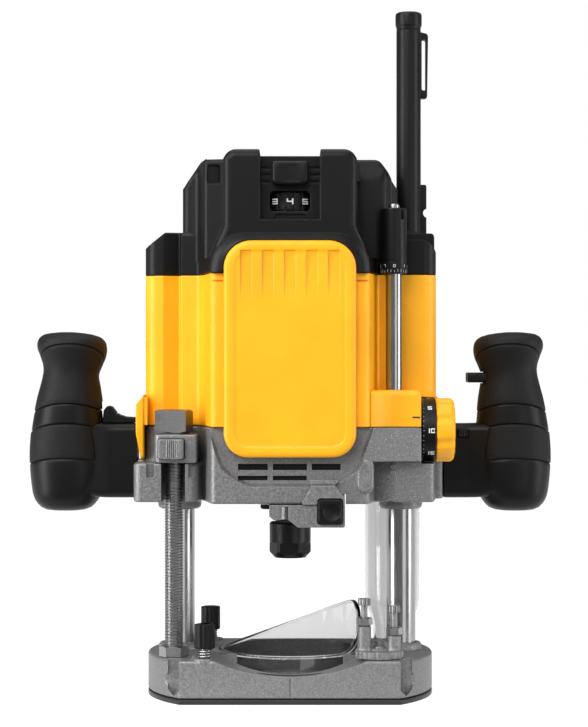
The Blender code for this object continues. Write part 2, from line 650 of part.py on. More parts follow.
# ---------------------------------------------------------------- depth stop

def rack_cuts():
    """Gaps between the rack's teeth, down the rod's rear."""
    pitch = math.pi * TOOTH_MODULE
    line = DEPTH_AXIS_Y - PINION_TEETH * TOOTH_MODULE / 2
    tip, root = line + TOOTH_MODULE, line - 1.3 * TOOTH_MODULE
    cuts = [box(0.0500, 0.0700, tip, 0.0, 0.1000, RACK_TOP)]
    for k in range(-11, 5):
        z = DEPTH_AXIS_Z + k * pitch
        gap = [(tip + 0.001, z - 0.40 * pitch), (tip + 0.001, z + 0.40 * pitch), (root, z + 0.22 * pitch),
               (root, z - 0.22 * pitch)]
        cuts.append(prism(gap, 0.0500, 0.0700, "X"))
    return cuts


def pinion_outline():
    """A ten-tooth pinion with one tooth pointing at the rack."""
    outline = []
    pitch_radius = PINION_TEETH * TOOTH_MODULE / 2
    for tooth in range(PINION_TEETH):
        middle = math.pi + math.tau * tooth / PINION_TEETH
        flank = [(pitch_radius - 1.3 * TOOTH_MODULE, 0.165), (pitch_radius, 0.115),
                 (pitch_radius + 0.8 * TOOTH_MODULE, 0.050)]
        outline += [(radius, middle - half) for radius, half in flank]
        outline += [(radius, middle + half) for radius, half in reversed(flank)]
    return [(DEPTH_AXIS_Y + r * math.cos(a), DEPTH_AXIS_Z + r * math.sin(a)) for r, a in outline]


def build_depth_stop(carriage, mats):
    slide = pivot("depth_rod_pivot", (ROD_X, ROD_Y, ROD_HIGH), carriage)
    bar = round_bar(ROD_X, ROD_Y, ROD_RADIUS, ROD_LOW, 0.2860, 20)
    rod = add("depth_rod", bar, mats["chrome"], slide)
    shape(rod, "UNION", round_bar(ROD_X, ROD_Y, 0.0034, 0.2850, STUD_TOP, 20))
    shape(rod, "DIFFERENCE", *rack_cuts())
    turn = pivot("fine_adjuster_pivot", (ROD_X, ROD_Y, 0.2680), slide)
    profile = [
        (ROD_RADIUS + 0.0003, 0.2490), (0.0076, 0.2490), (0.0080, 0.2560), (0.0083, 0.2600), (0.0070, 0.2875),
        (0.0037, 0.2875), (0.0037, 0.2864), (ROD_RADIUS + 0.0003, 0.2864),
    ]
    add("fine_adjuster", turned(profile, (ROD_X, ROD_Y), count=20, hollow=True), mats["black"], turn)
    axis = (DEPTH_AXIS_Y, DEPTH_AXIS_Z)
    wheel = pivot("depth_knob_pivot", (0.0880, *axis), carriage)
    pinion = add("depth_pinion", prism(pinion_outline(), 0.0560, 0.0650, "X"), mats["steel"], wheel)
    shape(pinion, "UNION", prism(circle(*axis, 0.0030, 14), 0.0640, 0.0852, "X"))
    knob = [
        (0, 0.0856), (0.0033, 0.0856), (0.0033, 0.0850), (DIAL_RADIUS, 0.0850), (DIAL_RADIUS, 0.0940),
        (DIAL_RADIUS - 0.0015, 0.0960), (0, 0.0960),
    ]
    add("depth_knob", turned(knob, axis, "X", 28), mats["yellow"], wheel)
    ring = [(0.0036, 0.0766), (DIAL_RADIUS, 0.0766), (DIAL_RADIUS, 0.0847), (0.0036, 0.0847)]
    scale = pivot("depth_ring_pivot", (0.0800, *axis), wheel)
    add("depth_ring", turned(ring, axis, "X", 28, hollow=True), mats["black"], scale)


# ---------------------------------------------------------------- grips

def grip_ring(side, inner, outer, half_depth, z, count=20):
    """A rounded ring between two distances from the middle, at a height."""
    middle, half = (inner + outer) / 2, (outer - inner) / 2
    ring = []
    for k in range(count):
        angle = math.tau * k / count
        x = middle + half * math.cos(angle)
        ring.append((side * x, half_depth * math.sin(angle), z))
    return ring


def build_grips(carriage, mats):
    lower = [
        (0.1260, 0.1430, 0.0080, 0.1086), (0.1200, 0.1495, 0.0140, 0.1110), (0.1150, 0.1538, 0.0180, 0.1160),
        (0.1110, 0.1555, 0.0195, 0.1250), (0.1100, 0.1566, 0.0200, 0.1390), (0.1105, 0.1562, 0.0198, 0.1500),
        (0.1115, 0.1550, 0.0195, GRIP_SPLIT),
    ]
    upper = [
        (0.1115, 0.1548, 0.0194, GRIP_SPLIT + GAP), (0.1128, 0.1522, 0.0188, 0.1750),
        (0.1140, 0.1500, 0.0178, 0.1830),
        (0.1152, 0.1484, 0.0168, 0.1900), (0.1130, 0.1480, 0.0170, 0.1945), (0.1106, 0.1498, 0.0188, 0.2010),
        (0.1102, 0.1516, 0.0205, 0.2060), (0.1125, 0.1514, 0.0200, 0.2110), (0.1215, 0.1470, 0.0130, 0.2146),
        (0.1290, 0.1380, 0.0050, 0.2160),
    ]
    for name, side in (("left", -1), ("right", 1)):
        rings = [grip_ring(side, *r) for r in lower]
        handle = add(f"handle_{name}", loft(rings), mats["black"], carriage)
        ends = sorted((side * (PAD_X + GAP), side * 0.1300))
        section = box_outline(-ARM_HALF_DEPTH, ARM_HALF_DEPTH, ARM_LOW, ARM_HIGH - 0.0022, 0.004)
        arm = prism(section, *ends, "X")
        shape(handle, "UNION", arm)
        sleeve = add(f"grip_{name}", loft([grip_ring(side, *r) for r in upper]), mats["soft"], carriage)
        hollow = sorted((side * 0.1215, side * 0.1420))
        shape(sleeve, "DIFFERENCE", box(*hollow, -0.0090, 0.0090, 0.1500, 0.2000))
        if side < 0:
            shape(handle, "DIFFERENCE", box(-0.1145, -0.0900, -0.0075, 0.0075, 0.1560, 0.1605))
            shape(sleeve, "DIFFERENCE", box(-0.1145, -0.1000, -0.0075, 0.0075, 0.1500, 0.1740))
        else:
            shape(handle, "DIFFERENCE", box(0.0997, 0.1063, -0.0300, -0.0050, 0.1529, 0.1577))
            opening = box(0.1000, 0.1300, -0.0094, 0.0094, TRIGGER_Z - 0.0034, TRIGGER_Z + 0.0034)
            shape(sleeve, "DIFFERENCE", opening)


def build_controls(carriage, mats):
    outline = [(-0.1124, 0.1612), (-0.0925, 0.1612), (-0.0925, 0.1647), (-0.0987, 0.1650), (-0.1034, 0.1667),
               (-0.1068, 0.1710), (-0.1092, 0.1718), (-0.1116, 0.1690)]
    rock = pivot("plunge_lock_pivot", (-0.0940, 0, 0.1630), carriage)
    add("plunge_lock_lever", prism(outline, -0.0065, 0.0065, "Y"), mats["black"], rock)
    press = pivot("power_trigger_pivot", (0.1100, 0, TRIGGER_Z), carriage)
    trigger = box(0.1060, 0.1190, -0.0090, 0.0090, TRIGGER_Z - 0.0030, TRIGGER_Z + 0.0030)
    add("power_trigger", trigger, mats["black"], press)
    switch = box(0.1240, 0.1400, -0.0080, 0.0080, 0.1760, 0.1960)
    add("power_switch", switch, mats["black"], carriage)
    catch = pivot("lock_on_pivot", (0.1030, -0.0130, 0.1553), carriage)
    add("lock_on_button", box(0.1000, 0.1060, -0.0135, -0.0070, 0.1533, 0.1573), mats["black"], catch)


# ---------------------------------------------------------------- assembly

def finishes():
    return {
        "yellow": material("yellow_plastic", (1.0, 0.56, 0.02), 0.4),
        "black": material("black_plastic", (0.02, 0.02, 0.02), 0.5),
        "soft": material("soft_grip", (0.03, 0.03, 0.03), 0.7),
        "rubber": material("rubber", (0.02, 0.02, 0.02), 0.8),
        "cast": material("cast_aluminium", (0.30, 0.30, 0.30), 0.5, 0.8),
        "chrome": material("chrome", (0.75, 0.75, 0.75), 0.12, 1.0),
        "steel": material("steel", (0.45, 0.45, 0.45), 0.35, 1.0),
        "copper": material("copper", (0.70, 0.30, 0.15), 0.4, 1.0),
        "brass": material("brass", (0.75, 0.55, 0.25), 0.35, 1.0),
        "clear": material("clear_plastic", (0.9, 0.9, 0.9), 0.08, 0.0, 0.35),
    }


def main():
    for obj in list(bpy.data.objects):
        bpy.data.objects.remove(obj)
    mats = finishes()
    root = pivot("base", (0.0, 0.0, 0.0))
    carriage = pivot("carriage", (0.0, 0.0, CARRIAGE_LOW), root)
    build_base(root, mats)
    build_columns(root, mats)
    build_shroud(root, mats)
    build_height_screw(root, mats)
    build_turret(root, mats)
    build_fence_clamps(root, mats)
    build_casting(carriage, mats)
    build_housing(carriage, mats)
    build_cover(carriage, mats)
    build_mast(carriage, mats)
    build_quick_release(carriage, mats)
    build_motor(carriage, mats)
    build_spindle(carriage, mats)
    build_spindle_lock(carriage, mats)
    build_depth_stop(carriage, mats)
    build_grips(carriage, mats)
    build_controls(carriage, mats)


main()
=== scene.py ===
"""Looks of a plunge router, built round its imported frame.

Metres, +Z up. The spindle runs up the Z axis, and the machine's front faces -Y.
"""
import math

import bmesh
import bpy
from mathutils import Matrix, Vector


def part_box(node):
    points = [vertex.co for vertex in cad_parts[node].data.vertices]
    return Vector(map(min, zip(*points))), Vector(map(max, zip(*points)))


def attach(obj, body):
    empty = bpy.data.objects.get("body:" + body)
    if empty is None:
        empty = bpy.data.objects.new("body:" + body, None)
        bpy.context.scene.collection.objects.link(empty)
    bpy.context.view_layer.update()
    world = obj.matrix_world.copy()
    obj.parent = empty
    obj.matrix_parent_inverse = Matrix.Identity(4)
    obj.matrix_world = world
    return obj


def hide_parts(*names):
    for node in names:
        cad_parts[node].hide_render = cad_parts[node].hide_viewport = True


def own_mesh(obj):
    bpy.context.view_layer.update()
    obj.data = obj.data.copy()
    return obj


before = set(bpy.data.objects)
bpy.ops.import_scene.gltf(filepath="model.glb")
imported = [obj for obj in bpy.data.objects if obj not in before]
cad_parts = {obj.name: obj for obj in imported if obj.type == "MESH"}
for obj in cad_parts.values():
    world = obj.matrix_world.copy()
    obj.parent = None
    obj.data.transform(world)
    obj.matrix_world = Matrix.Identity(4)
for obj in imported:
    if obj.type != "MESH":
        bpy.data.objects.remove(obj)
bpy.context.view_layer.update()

FINE = 64  # sides of a round piece
THREAD_STEPS = 32  # points round one turn of a thread
COIL_STEPS = 28  # points round one turn of a spring
WIRE_SIDES = 8  # sides of a spring's wire
SIDES = (-1, 1)  # left and right, or front and rear
CROSS_REACH = 0.0022  # half the length of a cross-head slot


# ---------------------------------------------------------------- outlines

def rounded(corners, inset=0.0, steps=6):
    """A closed outline through counter-clockwise (u, v, radius) corners, moved in by inset."""
    count = len(corners)
    edges = []
    for i in range(count):
        (u0, v0, _), (u1, v1, _) = corners[i], corners[(i + 1) % count]
        length = math.hypot(u1 - u0, v1 - v0)
        edges.append(((u1 - u0) / length, (v1 - v0) / length))
    outline = []
    for i, (u, v, radius) in enumerate(corners):
        (au, av), (bu, bv) = edges[i - 1], edges[i]
        turn = math.atan2(au * bv - av * bu, au * bu + av * bv)
        half = math.tan(turn / 2)
        u += inset * (-av - au * half)
        v += inset * (au - av * half)
        if radius * abs(half) < 1e-5:
            outline.append((u, v))
            continue
        radius = max(radius - inset if turn > 0 else radius + inset, 0.00002)
        back = radius * abs(half)
        side = 1 if turn > 0 else -1
        start_u, start_v = u - au * back, v - av * back
        centre_u, centre_v = start_u - av * radius * side, start_v + au * radius * side
        first = math.atan2(start_v - centre_v, start_u - centre_u)
        for k in range(steps + 1):
            angle = first + turn * k / steps
            outline.append((centre_u + radius * math.cos(angle), centre_v + radius * math.sin(angle)))
    return outline


def box_outline(u0, u1, v0, v1, radius=0.0, steps=5):
    corners = [(u0, v0, radius), (u1, v0, radius), (u1, v1, radius), (u0, v1, radius)]
    return rounded(corners, 0.0, steps)


def span(side, near, far):
    """From near to far on one side of the middle, lower end first."""
    return sorted((side * near, side * far))


def circle(u, v, radius, count=FINE, turn=0.0):
    angles = [turn + math.tau * k / count for k in range(count)]
    return [(u + radius * math.cos(a), v + radius * math.sin(a)) for a in angles]


def lobed(u, v, radius, depth, lobes, count=120, turn=0.0):
    """A circle with shallow finger hollows round it."""
    outline = []
    for k in range(count):
        angle = math.tau * k / count
        hollow = max(0.0, math.cos(lobes * (angle - turn))) ** 2
        reach = radius - depth * hollow
        outline.append((u + reach * math.cos(angle), v + reach * math.sin(angle)))
    return outline


# ---------------------------------------------------------------- meshes

PLACES = {
    "Z": lambda u, v, w: (u, v, w),
    "Y": lambda u, v, w: (u, w, v),
    "X": lambda u, v, w: (w, u, v),
}


def loft(rings):
    """Skin a stack of equal rings of points, and close both ends."""
    bm = bmesh.new()
    loops = [[bm.verts.new(p) for p in ring] for ring in rings]
    for lower, upper in zip(loops, loops[1:]):
        for i in range(len(lower)):
            j = (i + 1) % len(lower)
            bm.faces.new((lower[i], lower[j], upper[j], upper[i]))
    bm.faces.new(loops[0])
    bm.faces.new(loops[-1])
    bmesh.ops.recalc_face_normals(bm, faces=bm.faces)
    return bm


def prism(outline, low, high, axis="Z"):
    """Extrude an outline: (x, y) along Z, (x, z) along Y or (y, z) along X."""
    return loft([[PLACES[axis](u, v, w) for u, v in outline] for w in (low, high)])


def tapered(corners, steps, axis="Y", fine=8):
    """Skin one rounded outline along an axis, drawn in at each (inset, height) step."""
    return loft([[PLACES[axis](u, v, w) for u, v in rounded(corners, inset, fine)] for inset, w in steps])


def box(x0, x1, y0, y1, z0, z1):
    return prism(box_outline(x0, x1, y0, y1), z0, z1)


def turned(profile, centre, axis="Z", count=FINE, hollow=False):
    """Turn (radius, height) points round an axis; hollow joins the last point to the first."""
    bm = bmesh.new()
    loops = []
    for radius, height in profile:
        points = circle(*centre, radius, count) if radius else [centre]
        loops.append([bm.verts.new(PLACES[axis](u, v, height)) for u, v in points])
    pairs = list(zip(loops, loops[1:]))
    if hollow:
        pairs.append((loops[-1], loops[0]))
    for one, two in pairs:
        for i in range(count):
            j = (i + 1) % count
            corners = [one[i % len(one)], one[j % len(one)], two[j % len(two)], two[i % len(two)]]
            bm.faces.new(list(dict.fromkeys(corners)))
    if not hollow:
        for ring in (loops[0], loops[-1]):
            if len(ring) > 1:
                bm.faces.new(ring)
    bmesh.ops.recalc_face_normals(bm, faces=bm.faces)
    return bm


def rod(centre, radius, low, high, axis="Z", edge=0.0, count=FINE):
    """A round bar with both ends chamfered by edge."""
    profile = [(0, low), (radius - edge, low), (radius, low + edge), (radius, high - edge),
               (radius - edge, high), (0, high)]
    return turned(list(dict.fromkeys(profile)), centre, axis, count)


def sleeve(inner, outer, low, high, count=96):
    """A plain tube on the spindle's axis."""
    return turned([(inner, low), (outer, low), (outer, high), (inner, high)], (0, 0), count=count,
                  hollow=True)


def soften(bm, width, segments=3, degrees=30):
    """Round every edge that turns more than an angle."""
    limit = math.radians(degrees)
    edges = [e for e in bm.edges if e.is_manifold and e.calc_face_angle() > limit]
    bmesh.ops.bevel(bm, geom=edges, offset=width, segments=segments, profile=0.5, affect="EDGES")
    return bm


def chop(bm, point, normal):
    """Cut away everything on the normal's side of a plane, and close the cut."""
    geometry = bm.verts[:] + bm.edges[:] + bm.faces[:]
    cut = bmesh.ops.bisect_plane(bm, geom=geometry, plane_co=point, plane_no=normal, clear_outer=True)
    edges = [e for e in cut["geom_cut"] if isinstance(e, bmesh.types.BMEdge)]
    bmesh.ops.holes_fill(bm, edges=edges)
    bmesh.ops.recalc_face_normals(bm, faces=bm.faces)
    return bm


def together(*meshes):
    """Put separate meshes into one."""
    whole = bmesh.new()
    for bm in meshes:
        part = bpy.data.meshes.new("part")
        bm.to_mesh(part)
        bm.free()
        whole.from_mesh(part)
        bpy.data.meshes.remove(part)
    return whole


def linked(name, data):
    """A new object in the scene."""
    obj = bpy.data.objects.new(name, data)
    bpy.context.scene.collection.objects.link(obj)
    return obj


def hidden(bm):
    """A throwaway object for a Boolean."""
    mesh = bpy.data.meshes.new("tool")
    bm.to_mesh(mesh)
    bm.free()
    return linked("tool", mesh)


def boolean(operation, bm, tools):
    """Join, cut or intersect a mesh with others."""
    objects = [hidden(bm)] + [hidden(tool) for tool in tools]
    for tool in objects[1:]:
        modifier = objects[0].modifiers.new("Boolean", "BOOLEAN")
        modifier.operation = operation
        modifier.solver = "MANIFOLD"
        modifier.object = tool
    result = bmesh.new()
    result.from_object(objects[0], bpy.context.evaluated_depsgraph_get())
    for obj in objects:
        mesh = obj.data
        bpy.data.objects.remove(obj)
        bpy.data.meshes.remove(mesh)
    return result


def union(bm, *tools):
    return boolean("UNION", bm, tools)


def cut(bm, *tools):
    return boolean("DIFFERENCE", bm, tools)


def common(bm, *tools):
    return boolean("INTERSECT", bm, tools)


def moved(bm, shift=(0, 0, 0), turn=0.0, axis="Z", about=(0, 0, 0)):
    """Turn a mesh by an angle about a point, then shift it."""
    bmesh.ops.rotate(bm, verts=bm.verts, cent=about, matrix=Matrix.Rotation(turn, 3, axis))
    bmesh.ops.translate(bm, verts=bm.verts, vec=shift)
    return bm


def ring_of(count, *spans):
    """Equal boxes, spaced evenly round the spindle's axis."""
    return [moved(box(*spans), turn=math.tau * k / count) for k in range(count)]


def cross(x, y, half, low, high):
    """The two crossed slots in the head of an upright screw."""
    reaches = ((half, CROSS_REACH), (CROSS_REACH, half))
    return [box(x - u, x + u, y - v, y + v, low, high) for u, v in reaches]


def helix(x, y, low, high, pitch, root, crest):
    """A V-shaped thread ridge up a round bar."""
    turns = (high - low) / pitch
    rings = []
    for k in range(int(turns * THREAD_STEPS) + 1):
        angle = math.tau * k / THREAD_STEPS
        height = low + pitch * k / THREAD_STEPS
        ring = []
        for reach, lift in ((root, -0.42), (crest, -0.10), (crest, 0.10), (root, 0.42)):
            ring.append((x + reach * math.cos(angle), y + reach * math.sin(angle), height + lift * pitch))
        rings.append(ring)
    return loft(rings)


def thread(x, y, low, high, pitch, radius, depth):
    """A round bar with a real thread."""
    core = rod((x, y), radius - depth, low, high, edge=0.0004)
    ridge = helix(x, y, low + pitch, high - pitch, pitch, radius - depth - 0.0002, radius)
    return together(core, ridge)


def hexagon(x, y, flats, low, high, turn=0.0, edge=0.0010, both=False):
    """A hexagonal nut or head, its corners turned off at the top, or at both ends."""
    across = flats / math.sqrt(3)
    bar = prism(circle(x, y, across, 6, turn), low, high)
    bottom = edge if both else 0.0
    shave = across - flats / 2 + edge * 0.4
    profile = [(0, low), (across - (shave if both else 0), low), (across, low + bottom),
               (across, high - edge), (across - shave, high), (0, high)]
    return common(bar, turned(list(dict.fromkeys(profile)), (x, y)))


def coil(x, y, low, high, radius, wire, turns):
    """A round-wire compression spring along Z."""
    rings = []
    count = int(turns * COIL_STEPS)
    for k in range(count + 1):
        angle = math.tau * k / COIL_STEPS
        height = low + wire + (high - low - 2 * wire) * k / count
        ring = []
        for s in range(WIRE_SIDES):
            around = math.tau * s / WIRE_SIDES
            reach = radius + wire * math.cos(around)
            lift = wire * math.sin(around)
            ring.append((x + reach * math.cos(angle), y + reach * math.sin(angle), height + lift))
        rings.append(ring)
    return loft(rings)


def piece(name, bm, look, body, *nodes, smooth=38, slot=None):
    """Make a mesh into a piece that rides on a body, wears a look and stands for nodes."""
    slot = slot or SLOTS[look]
    mesh = bpy.data.meshes.new(name)
    bm.to_mesh(mesh)
    bm.free()
    mesh.materials.clear()
    mesh.materials.append(FINISH[look])
    mesh.shade_smooth()
    mesh.set_sharp_from_angle(angle=math.radians(smooth))
    obj = linked(name, mesh)
    weighted = obj.modifiers.new("Weighted Normals", "WEIGHTED_NORMAL")
    weighted.keep_sharp = True
    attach(obj, body)
    if nodes:
        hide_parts(*nodes)
    return obj


def middle(node):
    low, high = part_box(node)
    return (low + high) / 2


# ---------------------------------------------------------------- finishes

# Radius of the rounding that each kind of surface seems to have along its edges.
CAST_CORNER = 0.0004
MOULDED_CORNER = 0.0010
MACHINED_CORNER = 0.00015
EDGE_WEAR_AND_HIGHLIGHT_REACH = 0.0007  # how far a rubbed edge and the painted edge highlight reach


def start(name, colour, roughness, metallic=0.0):
    made = bpy.data.materials.new(name)
    made.use_nodes = True
    tree = made.node_tree
    shader = tree.nodes["Principled BSDF"]
    shader.inputs["Base Color"].default_value = (*colour, 1.0)
    shader.inputs["Roughness"].default_value = roughness
    shader.inputs["Metallic"].default_value = metallic
    made.diffuse_color = (*colour, 1.0)
    return made, tree, shader


def node(tree, kind, values=(), **settings):
    """A shader node: settings are its own, and values go to its inputs, as numbers or links."""
    made = tree.nodes.new(kind)
    for key, value in settings.items():
        setattr(made, key, value)
    for socket, value in values:
        if isinstance(value, bpy.types.NodeSocket):
            tree.links.new(value, made.inputs[socket])
        else:
            made.inputs[socket].default_value = value
    return made


def place(tree, stretch=(1, 1, 1)):
    """Object coordinates, stretched."""
    coordinates = node(tree, "ShaderNodeTexCoord")
    mapping = node(tree, "ShaderNodeMapping", [("Vector", coordinates.outputs["Object"]), ("Scale", stretch)])
    return mapping.outputs["Vector"]


def noise(tree, vector, scale, detail=3.0, roughness=0.55):
    made = node(tree, "ShaderNodeTexNoise", [("Vector", vector), ("Scale", scale), ("Detail", detail),
                                             ("Roughness", roughness)])
    return made.outputs["Fac"]


def ramp(tree, value, low, high, to_low=0.0, to_high=1.0):
    made = node(tree, "ShaderNodeMapRange", [("Value", value), ("From Min", low), ("From Max", high),
                                             ("To Min", to_low), ("To Max", to_high)])
    return made.outputs["Result"]


def blend_colour(tree, factor, one, two):
    made = node(tree, "ShaderNodeMix", data_type="RGBA")
    for socket, value in (("Factor_Float", factor), ("A_Color", one), ("B_Color", two)):
        index = [i for i, s in enumerate(made.inputs) if s.identifier == socket][0]
        if isinstance(value, bpy.types.NodeSocket):
            tree.links.new(value, made.inputs[index])
        else:
            made.inputs[index].default_value = value if isinstance(value, float) else (*value, 1.0)
    index = [i for i, s in enumerate(made.outputs) if s.identifier == "Result_Color"][0]
    return made.outputs[index]


def math_node(tree, operation, one, two=0.5):
    return node(tree, "ShaderNodeMath", [(0, one), (1, two)], operation=operation).outputs[0]


def edges(tree, radius):
    """1 along convex and concave edges, 0 on flat skin."""
    soft = node(tree, "ShaderNodeBevel", [("Radius", radius)], samples=4)
    flat = node(tree, "ShaderNodeNewGeometry")
    dot = node(tree, "ShaderNodeVectorMath", [(0, soft.outputs["Normal"]), (1, flat.outputs["Normal"])],
               operation="DOT_PRODUCT")
    return ramp(tree, dot.outputs["Value"], 0.995, 0.88)


def bump(tree, shader, height, strength, distance, corner=CAST_CORNER):
    """Surface texture, over corners that catch the light as if rounded."""
    soft = node(tree, "ShaderNodeBevel", [("Radius", corner)], samples=4)
    made = node(tree, "ShaderNodeBump", [("Height", height), ("Strength", strength), ("Distance", distance),
                                         ("Normal", soft.outputs["Normal"])])
    tree.links.new(made.outputs["Normal"], shader.inputs["Normal"])


def scaled(colour, factor):
    return tuple(min(c * factor, 1.0) for c in colour)


def moulded(name, colour, roughness, grain, depth, specular, wear_and_highlight, pebble=False):
    """Moulded plastic or rubber: a fine spark-eroded texture, faint flow marks, and edges that are burnished
    and also painted lighter as a painted highlight.
    """
    made, tree, shader = start(name, colour, roughness)
    shader.inputs["Specular IOR Level"].default_value = specular
    here = place(tree)
    broad = noise(tree, here, 28.0, 2.0)
    fine = noise(tree, here, grain, 3.0, 0.6)
    tone = blend_colour(tree, ramp(tree, broad, 0.35, 0.65), scaled(colour, 0.95), scaled(colour, 1.05))
    # Patchy edges are made lighter and glossier: partly real wear, partly a painted edge highlight.
    edge_wear_and_highlight = math_node(tree, "MULTIPLY", edges(tree, EDGE_WEAR_AND_HIGHLIGHT_REACH), noise(tree, here, 260.0))
    edge_wear_and_highlight = ramp(tree, edge_wear_and_highlight, 0.25, 0.75, 0.0, wear_and_highlight)
    lighter = tuple(c + (1 - c) * 0.18 for c in colour)
    tree.links.new(blend_colour(tree, edge_wear_and_highlight, tone, lighter), shader.inputs["Base Color"])
    spread = ramp(tree, fine, 0.3, 0.7, roughness - 0.06, roughness + 0.08)
    tree.links.new(math_node(tree, "SUBTRACT", spread, math_node(tree, "MULTIPLY", edge_wear_and_highlight, 0.35)),
                   shader.inputs["Roughness"])
    height = fine
    if pebble:
        cells = node(tree, "ShaderNodeTexVoronoi", [("Vector", here), ("Scale", grain * 0.55)],
                     feature="SMOOTH_F1")
        height = math_node(tree, "ADD", cells.outputs["Distance"], math_node(tree, "MULTIPLY", fine, 0.4))
    bump(tree, shader, height, 0.35, depth, MOULDED_CORNER)
    return made


def cast(name, colour, roughness, metallic):
    """Painted die casting: a fine sparkling grain over shallow orange peel, with a painted highlight along
    every edge.
    """
    made, tree, shader = start(name, colour, roughness, metallic)
    here = place(tree)
    sparkle = noise(tree, here, 1500.0, 1.0, 0.4)
    grain = noise(tree, here, 620.0, 3.0, 0.6)
    broad = noise(tree, here, 22.0, 2.0)
    base = blend_colour(tree, ramp(tree, grain, 0.35, 0.65), scaled(colour, 0.82), scaled(colour, 1.12))
    flakes = ramp(tree, sparkle, 0.58, 0.70)
    base = blend_colour(tree, flakes, base, scaled(colour, 1.75))
    base = blend_colour(tree, ramp(tree, broad, 0.35, 0.65, 0.0, 0.14), base, scaled(colour, 0.72))
    # Every edge is painted lighter here: a painted highlight along the edges, not wear.
    painted_edge_highlight = ramp(tree, edges(tree, EDGE_WEAR_AND_HIGHLIGHT_REACH), 0.2, 1.0, 0.0, 0.35)
    tree.links.new(blend_colour(tree, painted_edge_highlight, base, scaled(colour, 1.5)), shader.inputs["Base Color"])
    tree.links.new(ramp(tree, grain, 0.3, 0.7, roughness - 0.10, roughness + 0.12),
                   shader.inputs["Roughness"])
    bump(tree, shader, math_node(tree, "ADD", grain, math_node(tree, "MULTIPLY", sparkle, 0.5)), 0.35,
         0.00025)
    return made


def machined(name, colour, roughness, stretch, lines=900.0, depth=0.00003):
    """Turned, ground or brushed metal; stretch gives the marks their direction."""
    made, tree, shader = start(name, colour, roughness, 1.0)
    here = place(tree, stretch)
    marks = noise(tree, here, lines, 2.0, 0.6)
    smudge = noise(tree, place(tree), 45.0, 3.0)
    tone = blend_colour(tree, ramp(tree, marks, 0.35, 0.65), scaled(colour, 0.92), scaled(colour, 1.06))
    tree.links.new(tone, shader.inputs["Base Color"])
    varied = math_node(tree, "ADD", ramp(tree, marks, 0.3, 0.7, roughness - 0.03, roughness + 0.04),
                       ramp(tree, smudge, 0.4, 0.8, 0.0, 0.07))
    tree.links.new(varied, shader.inputs["Roughness"])
    bump(tree, shader, marks, 0.25, depth, MACHINED_CORNER)
    return made


def clear(name, colour, roughness):
    """Clear polycarbonate with faint flow lines and rubbed patches."""
    made, tree, shader = start(name, colour, roughness)
    shader.inputs["Transmission Weight"].default_value = 1.0
    shader.inputs["IOR"].default_value = 1.45
    here = place(tree)
    rubbed = noise(tree, here, 60.0, 4.0)
    tree.links.new(ramp(tree, rubbed, 0.45, 0.75, roughness, roughness + 0.09), shader.inputs["Roughness"])
    bump(tree, shader, noise(tree, place(tree, (1, 1, 0.25)), 90.0, 2.0), 0.10, 0.0003)
    return made


def printed(name, colour):
    """Pad-printed ink, a little uneven."""
    made, tree, shader = start(name, colour, 0.5)
    patch = noise(tree, place(tree), 900.0, 2.0)
    tone = blend_colour(tree, ramp(tree, patch, 0.3, 0.7), scaled(colour, 0.9), colour)
    tree.links.new(tone, shader.inputs["Base Color"])
    return made


def wound(name, colour):
    """Enamelled copper wire, wound in fine rows, with painted shade in the grooves between the rows."""
    made, tree, shader = start(name, colour, 0.35, 1.0)
    rows = node(tree, "ShaderNodeTexWave", [("Vector", place(tree)), ("Scale", 420.0), ("Distortion", 1.5)],
                bands_direction="Z")
    # The grooves between the wire rows are painted darker: painted shade.
    tone = blend_colour(tree, rows.outputs["Fac"], scaled(colour, 0.45), colour)
    tree.links.new(tone, shader.inputs["Base Color"])
    bump(tree, shader, rows.outputs["Fac"], 0.6, 0.0002)
    return made


# moulded: colour, roughness, scale and depth of the grain, specular level, edge wear and painted edge
# highlight
# machined: colour, roughness, direction, number and depth of the marks
FINISH = {
    "yellow": moulded("yellow_nylon", (0.90, 0.40, 0.003), 0.42, 1300.0, 0.00006, 0.4, 0.30),
    "black": moulded("black_nylon", (0.0024, 0.0024, 0.0026), 0.40, 1300.0, 0.00008, 0.22, 0.25),
    "soft": moulded("soft_grip", (0.0060, 0.0058, 0.0060), 0.58, 1500.0, 0.00022, 0.22, 0.10, pebble=True),
    "sole": moulded("sole_phenolic", (0.014, 0.014, 0.014), 0.40, 1100.0, 0.00006, 0.40, 0.20),
    "rubber": moulded("rubber", (0.012, 0.012, 0.012), 0.72, 900.0, 0.0001, 0.3, 0.05),
    "gloss": moulded("gloss_black", (0.006, 0.006, 0.006), 0.25, 700.0, 0.00002, 0.5, 0.05),
    "cast": cast("cast_aluminium", (0.192, 0.192, 0.194), 0.46, 0.55),
    "chrome": machined("hard_chrome", (0.33, 0.33, 0.33), 0.20, (1, 1, 0.08), 900.0, 0.000003),
    "plated": machined("zinc_plated_steel", (0.34, 0.34, 0.345), 0.30, (1, 1, 1), 700.0, 0.00001),
    "steel": machined("ground_steel", (0.24, 0.24, 0.24), 0.30, (0.15, 0.15, 1), 900.0, 0.00001),
    "oxide": machined("black_oxide_steel", (0.030, 0.030, 0.031), 0.36, (0.3, 0.3, 1), 800.0, 0.00005),
    "clear": clear("clear_polycarbonate", (0.66, 0.66, 0.665), 0.03),
    "copper": wound("copper_winding", (0.62, 0.26, 0.12)),
    "brass": machined("brass", (0.62, 0.43, 0.18), 0.30, (1, 1, 0.2)),
    "white": printed("white_ink", (0.75, 0.75, 0.75)),
    "dark": printed("dark_ink", (0.02, 0.015, 0.01)),
}

